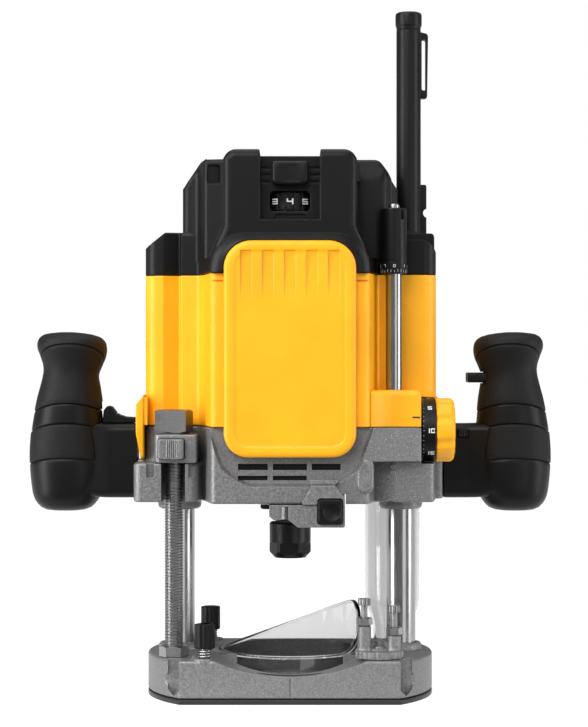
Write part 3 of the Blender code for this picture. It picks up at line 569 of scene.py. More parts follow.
SLOTS = {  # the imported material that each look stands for
    "yellow": "yellow_plastic", "black": "black_plastic", "soft": "soft_grip", "sole": "black_plastic",
    "rubber": "rubber", "gloss": "black_plastic", "cast": "cast_aluminium", "chrome": "chrome",
    "plated": "machined_steel", "steel": "machined_steel", "oxide": "black_steel", "clear": "clear_plastic",
    "copper": "copper_winding", "brass": "brass", "white": "black_plastic", "dark": "black_plastic",
}


# ---------------------------------------------------------------- base

BIT_OPENING = 0.032  # radius of the hole round the cutter
BOWL = 0.0432  # radius of the wide bowl above it
GUIDE_ROD_HEIGHT = 0.0135  # middle of an edge guide's rods
GUIDE_ROD_BORE = 0.0042
COLUMN_SOCKET = 0.0093


def base_outline(radius, flat):
    """A disc with its front and rear cut flat."""
    limit, steps = math.asin(flat / radius), 44
    right = [-limit + 2 * limit * k / steps for k in range(steps + 1)]
    return [(radius * math.cos(a), radius * math.sin(a)) for a in right + [math.pi + a for a in right]]


def corner_pocket(side, end):
    """The V-bottomed recess where a flat meets the round end."""
    inner, outer, low, floor, high = side * 0.0638, side * 0.0708, 0.0046, 0.0080, 0.0300
    corners = [(inner, high), (outer, high), (outer, floor), ((inner + outer) / 2, low), (inner, floor)]
    outline = corners if side < 0 else list(reversed(corners))
    return prism(outline, *sorted((end * 0.0445, end * 0.0700)), "Y")


def bit_opening():
    return rod((0, 0), BIT_OPENING, -0.01, 0.02, count=128)


def build_base():
    low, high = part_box("base_casting")
    top = low.z + 0.0221
    radius, flat = high.x, high.y
    column = middle("column_right").x
    clamp = middle("fence_clamp_rear")
    body = soften(prism(base_outline(radius, flat), low.z, top), 0.0016, 4)
    lip = turned([(0.0405, top - 0.003), (0.0468, top - 0.003), (0.0468, top + 0.0004),
                  (0.0460, top + 0.0009), (0.0440, top + 0.0009), (0.0405, top + 0.0004)], (0, 0),
                 count=128, hollow=True)
    extras = [lip]
    for side in SIDES:
        foot = [(0, top - 0.004), (0.0150, top - 0.004), (0.0150, top - 0.0002), (0.0128, top + 0.0008),
                (0.0124, top + 0.0020), (0.0124, high.z - 0.0010), (0.0114, high.z), (0, high.z)]
        extras.append(turned(foot, (side * column, 0)))
        extras.append(rod((clamp.x, side * clamp.y), 0.0078, top - 0.002, top + 0.0009, edge=0.0005))
    for side in SIDES:
        rib = box_outline(side * 0.0560 - 0.0012, side * 0.0560 + 0.0012, -0.0400, 0.0400, 0.0010)
        extras.append(soften(prism(rib, top - 0.002, top + 0.0007), 0.0004, 2))
    body = union(body, *extras)
    scoop_radius, scoop_bottom = 0.112, 0.016
    cuts = [
        bit_opening(),
        rod((0, 0), BOWL, 0.008, 0.04, count=128),
        prism(circle(0, scoop_bottom + scoop_radius, scoop_radius, 256), -0.070, -0.0300, "Y"),
        prism([(-0.0006, 0.0045), (0.0006, 0.0045), (0.0006, 0.0150), (-0.0006, 0.0150)], -0.070, -0.0553,
              "Y"),
    ]
    cuts += [rod((side * column, 0), COLUMN_SOCKET, 0.0117, 0.04) for side in SIDES]
    cuts += [corner_pocket(side, end) for side in SIDES for end in SIDES]
    for end in SIDES:
        y = end * clamp.y
        cuts.append(rod((y, GUIDE_ROD_HEIGHT), GUIDE_ROD_BORE, -0.1, 0.1, "X", count=40))
        cuts.append(rod((clamp.x, y), 0.0029, GUIDE_ROD_HEIGHT, 0.04, count=32))
        for side in SIDES:
            mouth = [(0, side * 0.0690), (GUIDE_ROD_BORE, side * 0.0690), (0.0062, side * 0.0800),
                     (0.0062, side * 0.1000), (0, side * 0.1000)]
            cuts.append(turned(mouth, (y, GUIDE_ROD_HEIGHT), "X", 40))
    piece("base_body", cut(body, *cuts), "cast", "base", "base_casting")
    plate_low, plate_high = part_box("sub_base_plate")
    plate = soften(prism(base_outline(radius, flat), plate_low.z, plate_high.z), 0.0005, 2)
    holes = [bit_opening()]
    screws = []
    for degrees in (35, 145, 215, 325):
        angle = math.radians(degrees)
        x, y = 0.0600 * math.cos(angle), 0.0600 * math.sin(angle)
        holes.append(turned([(0, -0.001), (0.0044, -0.001), (0.0044, 0.0004), (0.0022, 0.0026),
                             (0.0022, 0.005), (0, 0.005)], (x, y), count=32))
        head = turned([(0, 0.0005), (0.0039, 0.0005), (0.0039, 0.0008), (0.0019, 0.0026), (0, 0.0026)],
                      (x, y), count=32)
        screws.append(cut(head, *cross(x, y, 0.0004, 0.0, 0.0013)))
    piece("sole_plate", cut(plate, *holes), "sole", "base", "sub_base_plate")
    piece("sole_plate_screws", together(*screws), "plated", "base")


def build_columns():
    for name in ("left", "right"):
        low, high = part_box(f"column_{name}")
        x = (low.x + high.x) / 2
        radius, bore = (high.x - low.x) / 2, 0.0062
        wall = [(bore, low.z), (radius, low.z), (radius, high.z - 0.0012), (radius - 0.0004, high.z - 0.0004),
                (radius - 0.0012, high.z), (bore, high.z)]
        piece(f"guide_column_{name}", turned(wall, (x, 0), count=96, hollow=True), "chrome", "base",
              f"column_{name}")


def build_shroud():
    """Clear wall round the cutter, low at the front and sweeping up to the dust tube."""
    low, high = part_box("chip_shroud")
    steps, thick = 200, 0.0016
    radius = high.x
    loops = []
    for k in range(steps):
        angle = math.tau * k / steps
        x, y = radius * math.cos(angle), radius * math.sin(angle)
        along = (x + radius) / (2 * radius)
        back = min(max((y + 0.030) / 0.050, 0.0), 1.0)
        top = 0.0262 + 0.0290 * along ** 1.35 * back * back * (3 - 2 * back)
        inner = radius - thick
        section = [(radius, low.z), (radius, top - 0.0005), (radius - 0.0004, top), (inner - 0.0006, top),
                   (inner - 0.0010, top - 0.0005), (inner - 0.0010, top - 0.0014), (inner, top - 0.0022),
                   (inner, low.z)]
        loops.append([(r * math.cos(angle), r * math.sin(angle), z) for r, z in section])
    bm = bmesh.new()
    rings = [[bm.verts.new(p) for p in ring] for ring in loops]
    for one, two in zip(rings, rings[1:] + rings[:1]):
        for i in range(len(one)):
            j = (i + 1) % len(one)
            bm.faces.new((one[i], one[j], two[j], two[i]))
    bmesh.ops.recalc_face_normals(bm, faces=bm.faces)
    piece("clear_shroud", bm, "clear", "base", "chip_shroud", smooth=60)
    tube_low, tube_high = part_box("dust_tube")
    centre = middle("dust_tube")
    outer = (tube_high.x - tube_low.x) / 2
    base_z = tube_low.z
    profile = [(0.0118, base_z), (0.0122, base_z + 0.010), (0.0140, base_z + 0.017),
               (0.0160, base_z + 0.022), (outer, base_z + 0.027), (outer, tube_high.z - 0.0030),
               (outer, tube_high.z - 0.0006), (outer - 0.0006, tube_high.z), (outer - 0.0014, tube_high.z),
               (outer - thick, tube_high.z - 0.0008), (outer - thick, base_z + 0.027),
               (0.0146, base_z + 0.022), (0.0124, base_z + 0.017), (0.0106, base_z + 0.010),
               (0.0102, base_z)]
    tube = turned(profile, (centre.x, centre.y), count=96, hollow=True)
    mouth = rod((0, 0), radius - 0.0004, 0.0200, 0.0560, count=128)
    piece("clear_dust_tube", cut(tube, mouth), "clear", "base", "dust_tube", smooth=50)


def build_height_screw():
    low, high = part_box("height_screw")
    nut_low, nut_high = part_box("screw_base_nut")
    centre = middle("screw_base_nut")
    x, y = centre.x, centre.y
    flats, radius = nut_high.y - nut_low.y, 0.0055
    nut = cut(hexagon(x, y, flats, nut_low.z, nut_high.z), rod((x, y), radius + 0.0003, 0.0, 0.1))
    piece("height_screw_nut", nut, "plated", "base", "screw_base_nut")
    head_low = high.z - 0.0138
    stem = thread(x, y, low.z, head_low + 0.0002, 0.00165, radius, 0.0007)
    piece("height_screw_rod", stem, "steel", "height_screw", "height_screw")
    head = hexagon(x, y, 0.0195, head_low, high.z, math.radians(10), 0.0012, both=True)
    collar = rod((x, y), 0.0088, head_low - 0.0004, head_low + 0.0010, edge=0.0003)
    socket = rod((x, y), 0.0030, high.z - 0.0012, high.z + 0.01)
    piece("height_screw_head", cut(union(head, collar), socket), "steel", "height_screw")


def build_turret():
    low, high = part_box("depth_turret")
    centre = middle("depth_turret")
    x0, y0 = centre.x, centre.y
    radius, disc_top = (high.x - low.x) / 2, low.z + 0.0043
    disc = soften(prism(lobed(x0, y0, radius, 0.0007, 18, 216), low.z, disc_top), 0.0005, 2)
    ring = turned([(0.0030, disc_top - 0.001), (0.0055, disc_top - 0.001), (0.0055, disc_top + 0.0006),
                   (0.0050, disc_top + 0.0010), (0.0030, disc_top + 0.0010)], (x0, y0), hollow=True)
    posts = []
    for degrees, top in ((180, 0.0440), (0, 0.0385), (85, 0.0345)):
        angle = math.radians(degrees)
        x, y = x0 + 0.0087 * math.cos(angle), y0 + 0.0087 * math.sin(angle)
        profile = [(0, disc_top - 0.001), (0.0048, disc_top - 0.001), (0.0048, disc_top + 0.0004),
                   (0.0040, disc_top + 0.0016), (0.0040, top - 0.0006), (0.0034, top), (0, top)]
        posts.append(turned(profile, (x, y), count=40))
    piece("turret_disc", union(disc, ring, *posts), "cast", "turret", "depth_turret")
    hub = cut(rod((x0, y0), 0.0030, disc_top - 0.0008, disc_top + 0.0022, edge=0.0004, count=40),
              box(x0 - 0.004, x0 + 0.004, y0 - 0.0004, y0 + 0.0004, disc_top + 0.0013, disc_top + 0.01))
    piece("turret_screw", hub, "plated", "turret")
    for name in ("high", "middle"):
        nut_low, nut_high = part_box(f"stop_nut_{name}")
        at = middle(f"stop_nut_{name}")
        nut = hexagon(at.x, at.y, nut_high.y - nut_low.y, nut_low.z, nut_high.z, 0.0, 0.0007, both=True)
        nut = cut(nut, rod((at.x, at.y), 0.0023, 0.0, 0.1, count=32))
        piece(f"lock_nut_{name}", nut, "plated", "turret", f"stop_nut_{name}")
        screw_low, screw_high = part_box(f"stop_screw_{name}")
        neck = screw_high.z - 0.0040
        head = soften(prism(lobed(at.x, at.y, 0.0037, 0.0003, 16, 128), neck, screw_high.z), 0.0004, 2)
        slot = box(at.x - 0.01, at.x + 0.01, at.y - 0.0004, at.y + 0.0004, screw_high.z - 0.0011,
                   screw_high.z + 0.01)
        shank = thread(at.x, at.y, screw_low.z, neck + 0.0003, 0.0008, 0.0020, 0.0003)
        piece(f"stop_screw_{name}_part", together(cut(head, slot), shank), "plated", f"stop_screw_{name}",
              f"stop_screw_{name}")


def build_fence_clamps():
    for name in ("front", "rear"):
        low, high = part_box(f"fence_clamp_{name}")
        at = middle(f"fence_clamp_{name}")
        foot = low.z + 0.0138
        knob = prism(lobed(at.x, at.y, 0.0060, 0.0008, 7, 168), foot, high.z)
        knob = soften(knob, 0.0007, 3)
        cuts = [rod((at.x, at.y), 0.0032, high.z - 0.0009, high.z + 0.01, count=40)]
        piece(f"fence_knob_{name}", cut(knob, *cuts), "black", f"fence_clamp_{name}", f"fence_clamp_{name}")
        insert = rod((at.x, at.y), 0.0024, foot - 0.0002, high.z - 0.0004, edge=0.0003, count=32)
        stem = thread(at.x, at.y, low.z, foot + 0.0003, 0.0008, 0.0026, 0.0004)
        piece(f"fence_stem_{name}", together(insert, stem), "plated", f"fence_clamp_{name}")
        coil_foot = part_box(f"clamp_spring_{name}")[0].z
        spring = coil(at.x, at.y, coil_foot, foot - 0.0002, 0.0037, 0.0005, 3.2)
        piece(f"fence_spring_{name}", spring, "plated", "base", f"clamp_spring_{name}")


# ---------------------------------------------------------------- carriage: casting

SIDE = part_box("top_cover")[1].x  # half the body's width
FRONT = -0.0600  # the barrel's front
BEAM = 0.0455  # half the barrel's width at its front
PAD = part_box("motor_housing")[1].x  # where the handles bolt on
DIAL_WALL = 0.0762  # the wall beside the depth dial
DIAL_GAP = 0.0008  # between the dial and its pocket
STOP_ROD_BORE = 0.0052


def plan(pocket=True):
    """The body seen from above, counter-clockwise from the front left."""
    strip = [(-0.0752, -0.0182, 0.0016), (-0.0656, -0.0142, 0.0008), (-0.0646, -0.0186, 0.0008)]
    left = [(-SIDE, -0.0170, 0.0085)] + (strip if pocket else []) + [(-0.0540, -0.0200, 0.003)]
    return left + [
        (-0.0505, -0.0310, 0.003), (-BEAM, FRONT, 0.0040), (BEAM, FRONT, 0.0040), (0.0505, -0.0360, 0.003),
        (0.0520, -0.0300, 0.001), (SIDE, -0.0300, 0.008), (SIDE, 0.0580, 0.014), (0.0520, 0.0580, 0.003),
        (0.0440, 0.0660, 0.010), (-0.0440, 0.0660, 0.010), (-0.0520, 0.0580, 0.003), (-SIDE, 0.0580, 0.014),
    ]


def depth_axis():
    centre = middle("depth_knob")
    return centre.y, centre.z


def dial_pocket():
    low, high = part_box("depth_knob")
    return rod(depth_axis(), (high.z - low.z) / 2 + DIAL_GAP, DIAL_WALL, 0.1000, "X", count=96)


def dial_notch():
    """Clears the ring's front, below and in front of its axis."""
    y, z = depth_axis()
    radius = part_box("depth_knob")[1].z - z + DIAL_GAP
    return box(DIAL_WALL, 0.1000, -0.0700, y, z - radius, z + radius)


def pinion_bores():
    """Room for the depth pinion and for its shaft, through the casting, the housing and the gear cover."""
    return [rod(depth_axis(), 0.0066, 0.0556, 0.0654, "X", count=32),
            rod(depth_axis(), 0.0034, 0.0600, 0.0800, "X", count=32)]


def recess():
    """The U-shaped hollow in the casting's front, round the panel and the vents."""
    corners = [(-0.0245, 0.1262, 0.012), (0.0245, 0.1262, 0.012), (0.0395, 0.1350, 0.016),
               (0.0440, 0.1480, 0.010), (0.0500, 0.1620, 0.001), (-0.0500, 0.1620, 0.001),
               (-0.0440, 0.1480, 0.010), (-0.0395, 0.1350, 0.016)]
    return tapered(corners, ((-0.0006, -0.0700), (-0.0006, FRONT - 0.0004), (0.0006, FRONT + 0.0012),
                             (0.0018, FRONT + 0.0034)))


def vents():
    """Two rows of louvred slots; each sill slopes down and out."""
    slots = []
    spans = ((-0.0300, -0.0128), (-0.0099, 0.0097), (0.0125, 0.0292))
    for low, high, count in ((0.1350, 0.1391, 3), (0.1291, 0.1322, 2)):
        for left, right in spans[:count]:
            outline = [(-0.0700, low - 0.0016), (-0.0500, low + 0.0014), (-0.0500, high), (-0.0700, high)]
            slots.append(prism(outline, left, right, "X"))
    return slots


def gear_plan():
    return [(0.0388, -0.0618, 0.0045), (0.0560, -0.0560, 0.010), (0.0760, -0.0526, 0.0016),
            (0.0760, -0.0304, 0.0), (0.0388, -0.0304, 0.0)]


def build_casting():
    low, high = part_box("carriage_casting")
    bottom, top, deck = 0.1160, high.z, 0.1520
    column, tube = middle("column_right").x, middle("dust_tube")
    screw = middle("screw_base_nut")
    stop = middle("depth_rod")
    corners = plan(False)
    body = soften(prism(rounded(corners), bottom, top), 0.0014, 3)
    body = cut(body, prism(rounded(corners, 0.0045), 0.1000, deck))
    joins = [soften(prism(circle(side * column, 0, 0.0163), bottom + 0.0005, 0.1560), 0.001)
             for side in SIDES]
    joins += [
        soften(prism(circle(0, 0, 0.0235, 96), low.z, 0.1560), 0.0015),
        soften(prism(circle(tube.x, tube.y, 0.0199), bottom + 0.0010, 0.1560), 0.001),
        soften(prism(rounded([(-PAD, -0.0450, 0.005), (-0.0540, -0.0450, 0.007), (-0.0500, -0.0220, 0.001),
                              (-PAD, -0.0120, 0.001)]), bottom + 0.0002, 0.1388), 0.0012),
        soften(prism(rounded(gear_plan()), 0.1402, top - 0.0001), 0.0008, 2),
        soften(prism(rounded([(0.0440, -0.0400, 0.001), (0.0605, -0.0468, 0.006), (0.0840, -0.0468, 0.0035),
                              (0.0840, -0.0280, 0.001), (0.0440, -0.0280, 0.001)]), bottom + 0.0003,
                     0.1406), 0.0012),
        box(0.0715, SIDE - 0.001, -0.0285, -0.0100, 0.1340, top - 0.0002),
        soften(prism(box_outline(0.0384, 0.0482, 0.1222, 0.1425, 0.0046, 8), -0.0622, -0.0500, "Y"), 0.0020,
               4),
    ]
    for side in SIDES:
        near, far = span(side, SIDE - 0.0040, PAD)
        joins.append(soften(prism(box_outline(near, far, -0.0125, 0.0240, 0.003), bottom + 0.0004, 0.1398),
                            0.0012))
        x0, x1 = span(side, 0.0480, 0.0505)
        joins.append(box(x0, x1, 0.0480, 0.0600, bottom + 0.0020, deck))
    for z in (0.1335, 0.1369):
        joins.append(rod((0.0596, z), 0.0016, -0.0471, -0.0440, "Y", 0.0002, 24))
    body = union(body, *joins)
    cuts = [rod((side * column, 0), 0.0133, 0.1000, 0.1483) for side in SIDES]
    cuts += [rod((side * column, 0), 0.0096, 0.1000, 0.2000) for side in SIDES]
    cuts += [
        rod((tube.x, tube.y), 0.01725, 0.1000, 0.2000),
        rod((0, 0), 0.0163, 0.1220, 0.2000),
        rod((0, 0), 0.0086, 0.1000, 0.2000),
        rod((stop.x, stop.y), STOP_ROD_BORE, 0.1000, 0.2000),
        box(screw.x - 0.0070, screw.x + 0.0070, -0.0600, -0.0175, 0.1000, 0.1500),
        box(0.0130, 0.0322, -0.0700, -0.0480, 0.1000, 0.1218),
        dial_pocket(), dial_notch(), recess(), *pinion_bores(),
    ]
    for x0, x1 in ((-0.0835, -0.0790), (-0.0590, -0.0560)):
        cuts.append(box(x0, x1, -0.0600, -0.0420, 0.1305, 0.1500))
    body = cut(body, *cuts, *vents())
    piece("carriage_body", body, "cast", "carriage", "carriage_casting")
    for name, side in (("left", -1), ("right", 1)):
        bush_low, bush_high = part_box(f"guide_bush_{name}")
        outer, bore, foot = 0.0130, 0.0092, bush_low.z
        profile = [(bore, foot + 0.0008), (bore + 0.0010, foot), (outer - 0.0020, foot),
                   (outer - 0.0006, foot + 0.0008), (outer, foot + 0.0024), (outer, bush_high.z),
                   (bore, bush_high.z)]
        piece(f"column_bush_{name}", turned(profile, (side * column, 0), count=96, hollow=True), "cast",
              "carriage", f"guide_bush_{name}")
    plate = rounded(plan(False), 0.0050)
    baffle = cut(prism(plate, deck - 0.0012, deck - 0.0002),
                 *[rod((side * column, 0), 0.0170, 0.1, 0.2) for side in SIDES],
                 rod((0, 0), 0.0240, 0.1, 0.2), rod((tube.x, tube.y), 0.0200, 0.1, 0.2),
                 box(-0.0760, -0.0600, -0.0600, -0.0270, 0.1, 0.2), rod((stop.x, stop.y), 0.0075, 0.1, 0.2),
                 box(0.0540, 0.0900, -0.0600, -0.0050, 0.1, 0.2))
    screen = [prism(box_outline(-0.0330, 0.0325, 0.1266, 0.1412, 0.0020), -0.0549, -0.0541, "Y")]
    screen += [box(x - 0.0006, x + 0.0006, -0.0543, -0.0525, 0.1270, 0.1408) for x in (-0.0220, 0.0, 0.0220)]
    piece("vent_screen", union(*screen), "black", "carriage")
    piece("deck_baffle", baffle, "black", "carriage")


def build_quick_release():
    low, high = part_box("quick_release_block")
    screw = middle("screw_base_nut")
    outline = rounded([(low.x, -0.0445, 0.0035), (high.x, low.y, 0.0018), (high.x, -0.0268, 0.0),
                       (-0.0602, high.y, 0.0), (low.x, high.y, 0.001)])
    block = soften(prism(outline, low.z, high.z), 0.0009, 3)
    collar = rod((screw.x, screw.y), 0.0098, high.z - 0.002, high.z + 0.0005, edge=0.0005)
    collar = cut(collar, box(-0.1, 0.0, -0.06, -0.0440, 0.1, 0.2))
    block = union(block, collar)
    window = box_outline(-0.0770, -0.0610, 0.1410, 0.1535, 0.0016)
    block = cut(block, box(screw.x - 0.0070, screw.x + 0.0070, screw.y - 0.0068, 0.0, 0.1, 0.1545),
                rod((screw.x, screw.y), 0.0062, 0.1, 0.2), prism(window, -0.0600, -0.0415, "Y"))
    piece("release_block", block, "cast", "carriage", "quick_release_block")
    low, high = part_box("quick_release_button")
    button = soften(prism(box_outline(low.x, high.x, low.z, high.z, 0.0014), low.y, high.y, "Y"), 0.0010, 3)
    dip = prism(circle(0.5 * (low.x + high.x), low.y - 0.0170, 0.0177, 96), low.z - 0.01, high.z + 0.01)
    ribs = [rod((low.x + 0.0052 + 0.00115 * k, low.y + 0.0006), 0.0004, low.z + 0.0010, high.z - 0.0010,
                edge=0.0001, count=16) for k in range(6)]
    piece("release_button", together(cut(button, dip), *ribs), "cast", "quick_release",
          "quick_release_button")


# ---------------------------------------------------------------- carriage: housing

HOUSING_SCREW_X = 0.0620
HOUSING_SCREW_ROWS = (0.1720, 0.2380)


def inner_plan():
    """The inside of the housing's wall."""
    side, rear = SIDE - 0.0030, 0.0550
    return rounded([
        (-side, -0.0100, 0.006), (-0.0520, -0.0120, 0.003), (-0.0475, -0.0300, 0.003), (-0.0425, -0.0570,
                                                                                        0.002),
        (0.0425, -0.0570, 0.002), (0.0475, -0.0340, 0.003), (0.0500, -0.0270, 0.001), (side, -0.0270, 0.006),
        (side, rear, 0.011), (0.0505, rear, 0.003), (0.0430, 0.0630, 0.007), (-0.0430, 0.0630, 0.007),
        (-0.0505, rear, 0.003), (-side, rear, 0.011),
    ])


def skirt(side, low):
    """The flared apron where a handle joins, with its tongue hanging over the casting."""
    front, rear = (-0.0238 if side < 0 else -0.0123), 0.0238
    outline = rounded([(front, 0.1590, 0.004), (front + 0.0030, 0.1402, 0.003),
                       (rear - 0.0030, 0.1402, 0.003), (rear, 0.1590, 0.004), (rear, 0.1790, 0.003),
                       (front, 0.1790, 0.003)])
    near, far = span(side, SIDE + 0.0003, PAD)
    flare = soften(prism(outline, near, far, "X"), 0.0008, 3, 60)
    chop(flare, (side * (SIDE + 0.0004), 0, 0.1782), (side * 0.78, 0, 0.62))
    chop(flare, (side * PAD, 0, 0.1560), (side * 0.985, 0, -0.174))
    root = prism(box_outline(front + 0.0008, rear - 0.0008, low + 0.0002, 0.1770),
                 *span(side, SIDE - 0.002, SIDE + 0.001), "X")
    return flare, root


def build_housing():
    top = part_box("motor_housing")[1].z
    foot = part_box("carriage_casting")[1].z + 0.0003
    body = soften(prism(rounded(plan(), 0.0, 8), foot, top), 0.0006, 2, 60)
    body = cut(body, prism(inner_plan(), 0.1, 0.3))
    joins = [box(0.0715, SIDE - 0.001, -0.0285, -0.0100, foot + 0.0001, 0.1812), *skirt(-1, foot),
             *skirt(1, foot)]
    body = union(body, *joins)
    cuts = [dial_pocket(), dial_notch(), *pinion_bores()]
    for side in SIDES:
        x0, x1 = span(side, 0.0384, 0.0468)
        cuts.append(box(x0, x1, -0.0700, FRONT + 0.0012, 0.2437, 0.2448))
        cuts += [rod((side * HOUSING_SCREW_X, z), 0.0052, 0.0560, 0.0700, "Y") for z in HOUSING_SCREW_ROWS]
    for z in (0.1850, 0.1900, 0.1950, 0.2000, 0.2050):
        cuts.append(prism(box_outline(-0.0300, 0.0300, z, z + 0.0022, 0.0010), 0.0600, 0.0700, "Y"))
    body = cut(body, *cuts)
    piece("housing_shell", body, "yellow", "carriage", "motor_housing")
    screws = []
    for side in SIDES:
        x = side * HOUSING_SCREW_X
        for z in HOUSING_SCREW_ROWS:
            head = turned([(0, 0.0559), (0.0042, 0.0559), (0.0042, 0.0569), (0.0034, 0.0577), (0, 0.0578)],
                          (x, z), "Y", 40)
            reaches = ((CROSS_REACH, 0.0005), (0.0005, CROSS_REACH))
            star = [box(x - u, x + u, 0.0568, 0.0590, z - v, z + v) for u, v in reaches]
            screws.append(cut(head, *star))
    piece("housing_screws", together(*screws), "oxide", "carriage")


def build_front_panel():
    low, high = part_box("front_panel")
    corners = [(low.x, low.z, 0.0140), (high.x, low.z, 0.0140), (high.x, high.z, 0.0160),
               (low.x, high.z, 0.0160)]
    steps = ((0, high.y), (0, low.y + 0.0020), (0.0006, low.y + 0.0008), (0.0016, low.y + 0.0002),
             (0.0028, low.y), (0.0052, low.y), (0.0062, low.y + 0.0004), (0.0070, low.y + 0.0008))
    face = tapered(corners, steps, fine=12)
    face_y = low.y + 0.0008
    channel = [(face_y - 0.0020, 0.2335), (face_y, 0.2335), (face_y + 0.0010, 0.2590),
               (face_y - 0.0002, 0.2618), (face_y - 0.0020, 0.2618)]
    flutes = [prism(channel, x - 0.0033, x + 0.0033, "X") for x in (-0.0252, -0.0126, 0, 0.0126, 0.0252)]
    piece("front_plate", cut(face, *flutes), "yellow", "carriage", "front_panel", smooth=50)


def build_gear_cover():
    low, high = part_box("depth_gear_cover")
    stop = middle("depth_rod")
    corners = [(0.0418, -0.0606, 0.0048), (0.0560, low.y + 0.0006, 0.0100), (high.x, low.y, 0.0020),
               (high.x, high.y, 0.0), (0.0418, high.y, 0.0)]
    steps = ((0.0, low.z), (0.0, high.z - 0.0034), (0.0005, high.z - 0.0018), (0.0015, high.z - 0.0006),
             (0.0030, high.z))
    block = cut(tapered(corners, steps, "Z"), prism(rounded(plan(), -0.0002, 8), 0.1, 0.3),
                rod((stop.x, stop.y), STOP_ROD_BORE, 0.1, 0.2),
                rod((stop.x, stop.y), 0.0066, high.z - 0.0006, 0.2), *pinion_bores())
    piece("gear_cover", block, "yellow", "carriage", "depth_gear_cover")
    index = box(high.x - 0.0052, high.x - 0.0008, low.y - 0.0001, low.y + 0.0010, 0.1653, 0.1662)
    piece("scale_index", index, "dark", "carriage")


# ---------------------------------------------------------------- carriage: top cover

COVER_SCREW_X = 0.0300


def tiers(inset=0.0):
    """The cover seen from the front: shoulders, middle step and crown."""
    low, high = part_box("top_cover")
    half = [(high.x, 0.2663, 0.0), (0.0755, 0.2747, 0.0), (0.0638, 0.2747, 0.0008), (0.0638, 0.3004, 0.0020),
            (0.0524, 0.3168, 0.0055), (0.0400, 0.3168, 0.0012), (0.0372, high.z, 0.0012)]
    foot = low.z - (0.02 if inset else 0.0)
    right = [(high.x, foot, 0.0)] + half
    left = [(-x, z, r) for x, z, r in reversed(right)]
    return rounded(right + left, inset, 4)


def louvres(side):
    """Slots through a shoulder's side wall."""
    slots = []
    for k in range(5):
        y = 0.0030 + 0.0090 * k
        x0, x1 = span(side, SIDE - 0.0060, SIDE + 0.0050)
        slots.append(prism(box_outline(y - 0.0018, y + 0.0018, 0.2530, 0.2635, 0.0017), x0, x1, "X"))
    return slots


def upper_plan(wall=0.0):
    """The cover above its shoulders, seen from above; wall gives its inside."""
    side, rear = 0.0638 - wall, 0.0580 - wall
    return rounded([
        (-side, -0.0176 + wall, 0.005), (-0.0542 + wall * 0.6, -0.0200 + wall, 0.0050),
        (-0.0505 + wall, -0.0318 + wall * 0.5, 0.0040), (-0.0386 + wall, -0.0352 + wall, 0.0008),
        (-0.0386 + wall, FRONT + wall, 0.0045), (0.0386 - wall, FRONT + wall, 0.0045),
        (0.0386 - wall, -0.0352 + wall, 0.0008), (0.0600 - wall, -0.0352 + wall, 0.0100),
        (0.0600 - wall, -0.0170 + wall, 0.001), (side, -0.0150 + wall, 0.002),
        (side, rear, 0.006), (0.0520 - wall, rear, 0.001), (0.0440 - wall, 0.0660 - wall, 0.006),
        (-0.0440 + wall, 0.0660 - wall, 0.006), (-0.0520 + wall, rear, 0.001), (-side, rear, 0.006),
    ], 0.0, 8)


def flared_barrel(low):
    """The barrel's foot, which spreads towards the housing."""
    rings = []
    for z, half in ((low, BEAM), (0.2585, BEAM), (0.2660, 0.0432), (0.2720, 0.0402), (0.2765, 0.0386)):
        rings.append([(u, v, z) for u, v in rounded([(-half, FRONT, 0.0045), (half, FRONT, 0.0045),
                                                     (half + 0.0020, -0.0250, 0.002),
                                                     (-half - 0.0020, -0.0250, 0.002)], 0.0, 8)])
    return loft(rings)


def shoulders(low):
    """The low blocks over the two columns: chamfered on the left, rounded at the right's front."""
    steps = ((0.0, low), (0.0, 0.2722), (0.0004, 0.2737), (0.0012, 0.2745), (0.0022, 0.2747))
    block = cut(tapered(plan(), steps, "Z"), box(-0.0510, 0.0510, -0.0700, -0.0301, 0.2585, 0.3000))
    chop(block, (-SIDE, 0, 0.2650), (-0.62, 0, 0.785))
    side = SIDE + 0.0003
    kept = prism(rounded([(0.0500, 0.2300, 0.0), (side, 0.2300, 0.0), (side, 0.2697, 0.0105),
                          (0.0500, 0.2697, 0.0)], 0.0, 10), -0.0600, 0.0100, "Y")
    return cut(block, cut(box(0.0640, 0.1000, -0.0500, -0.0070, 0.2560, 0.3000), kept))


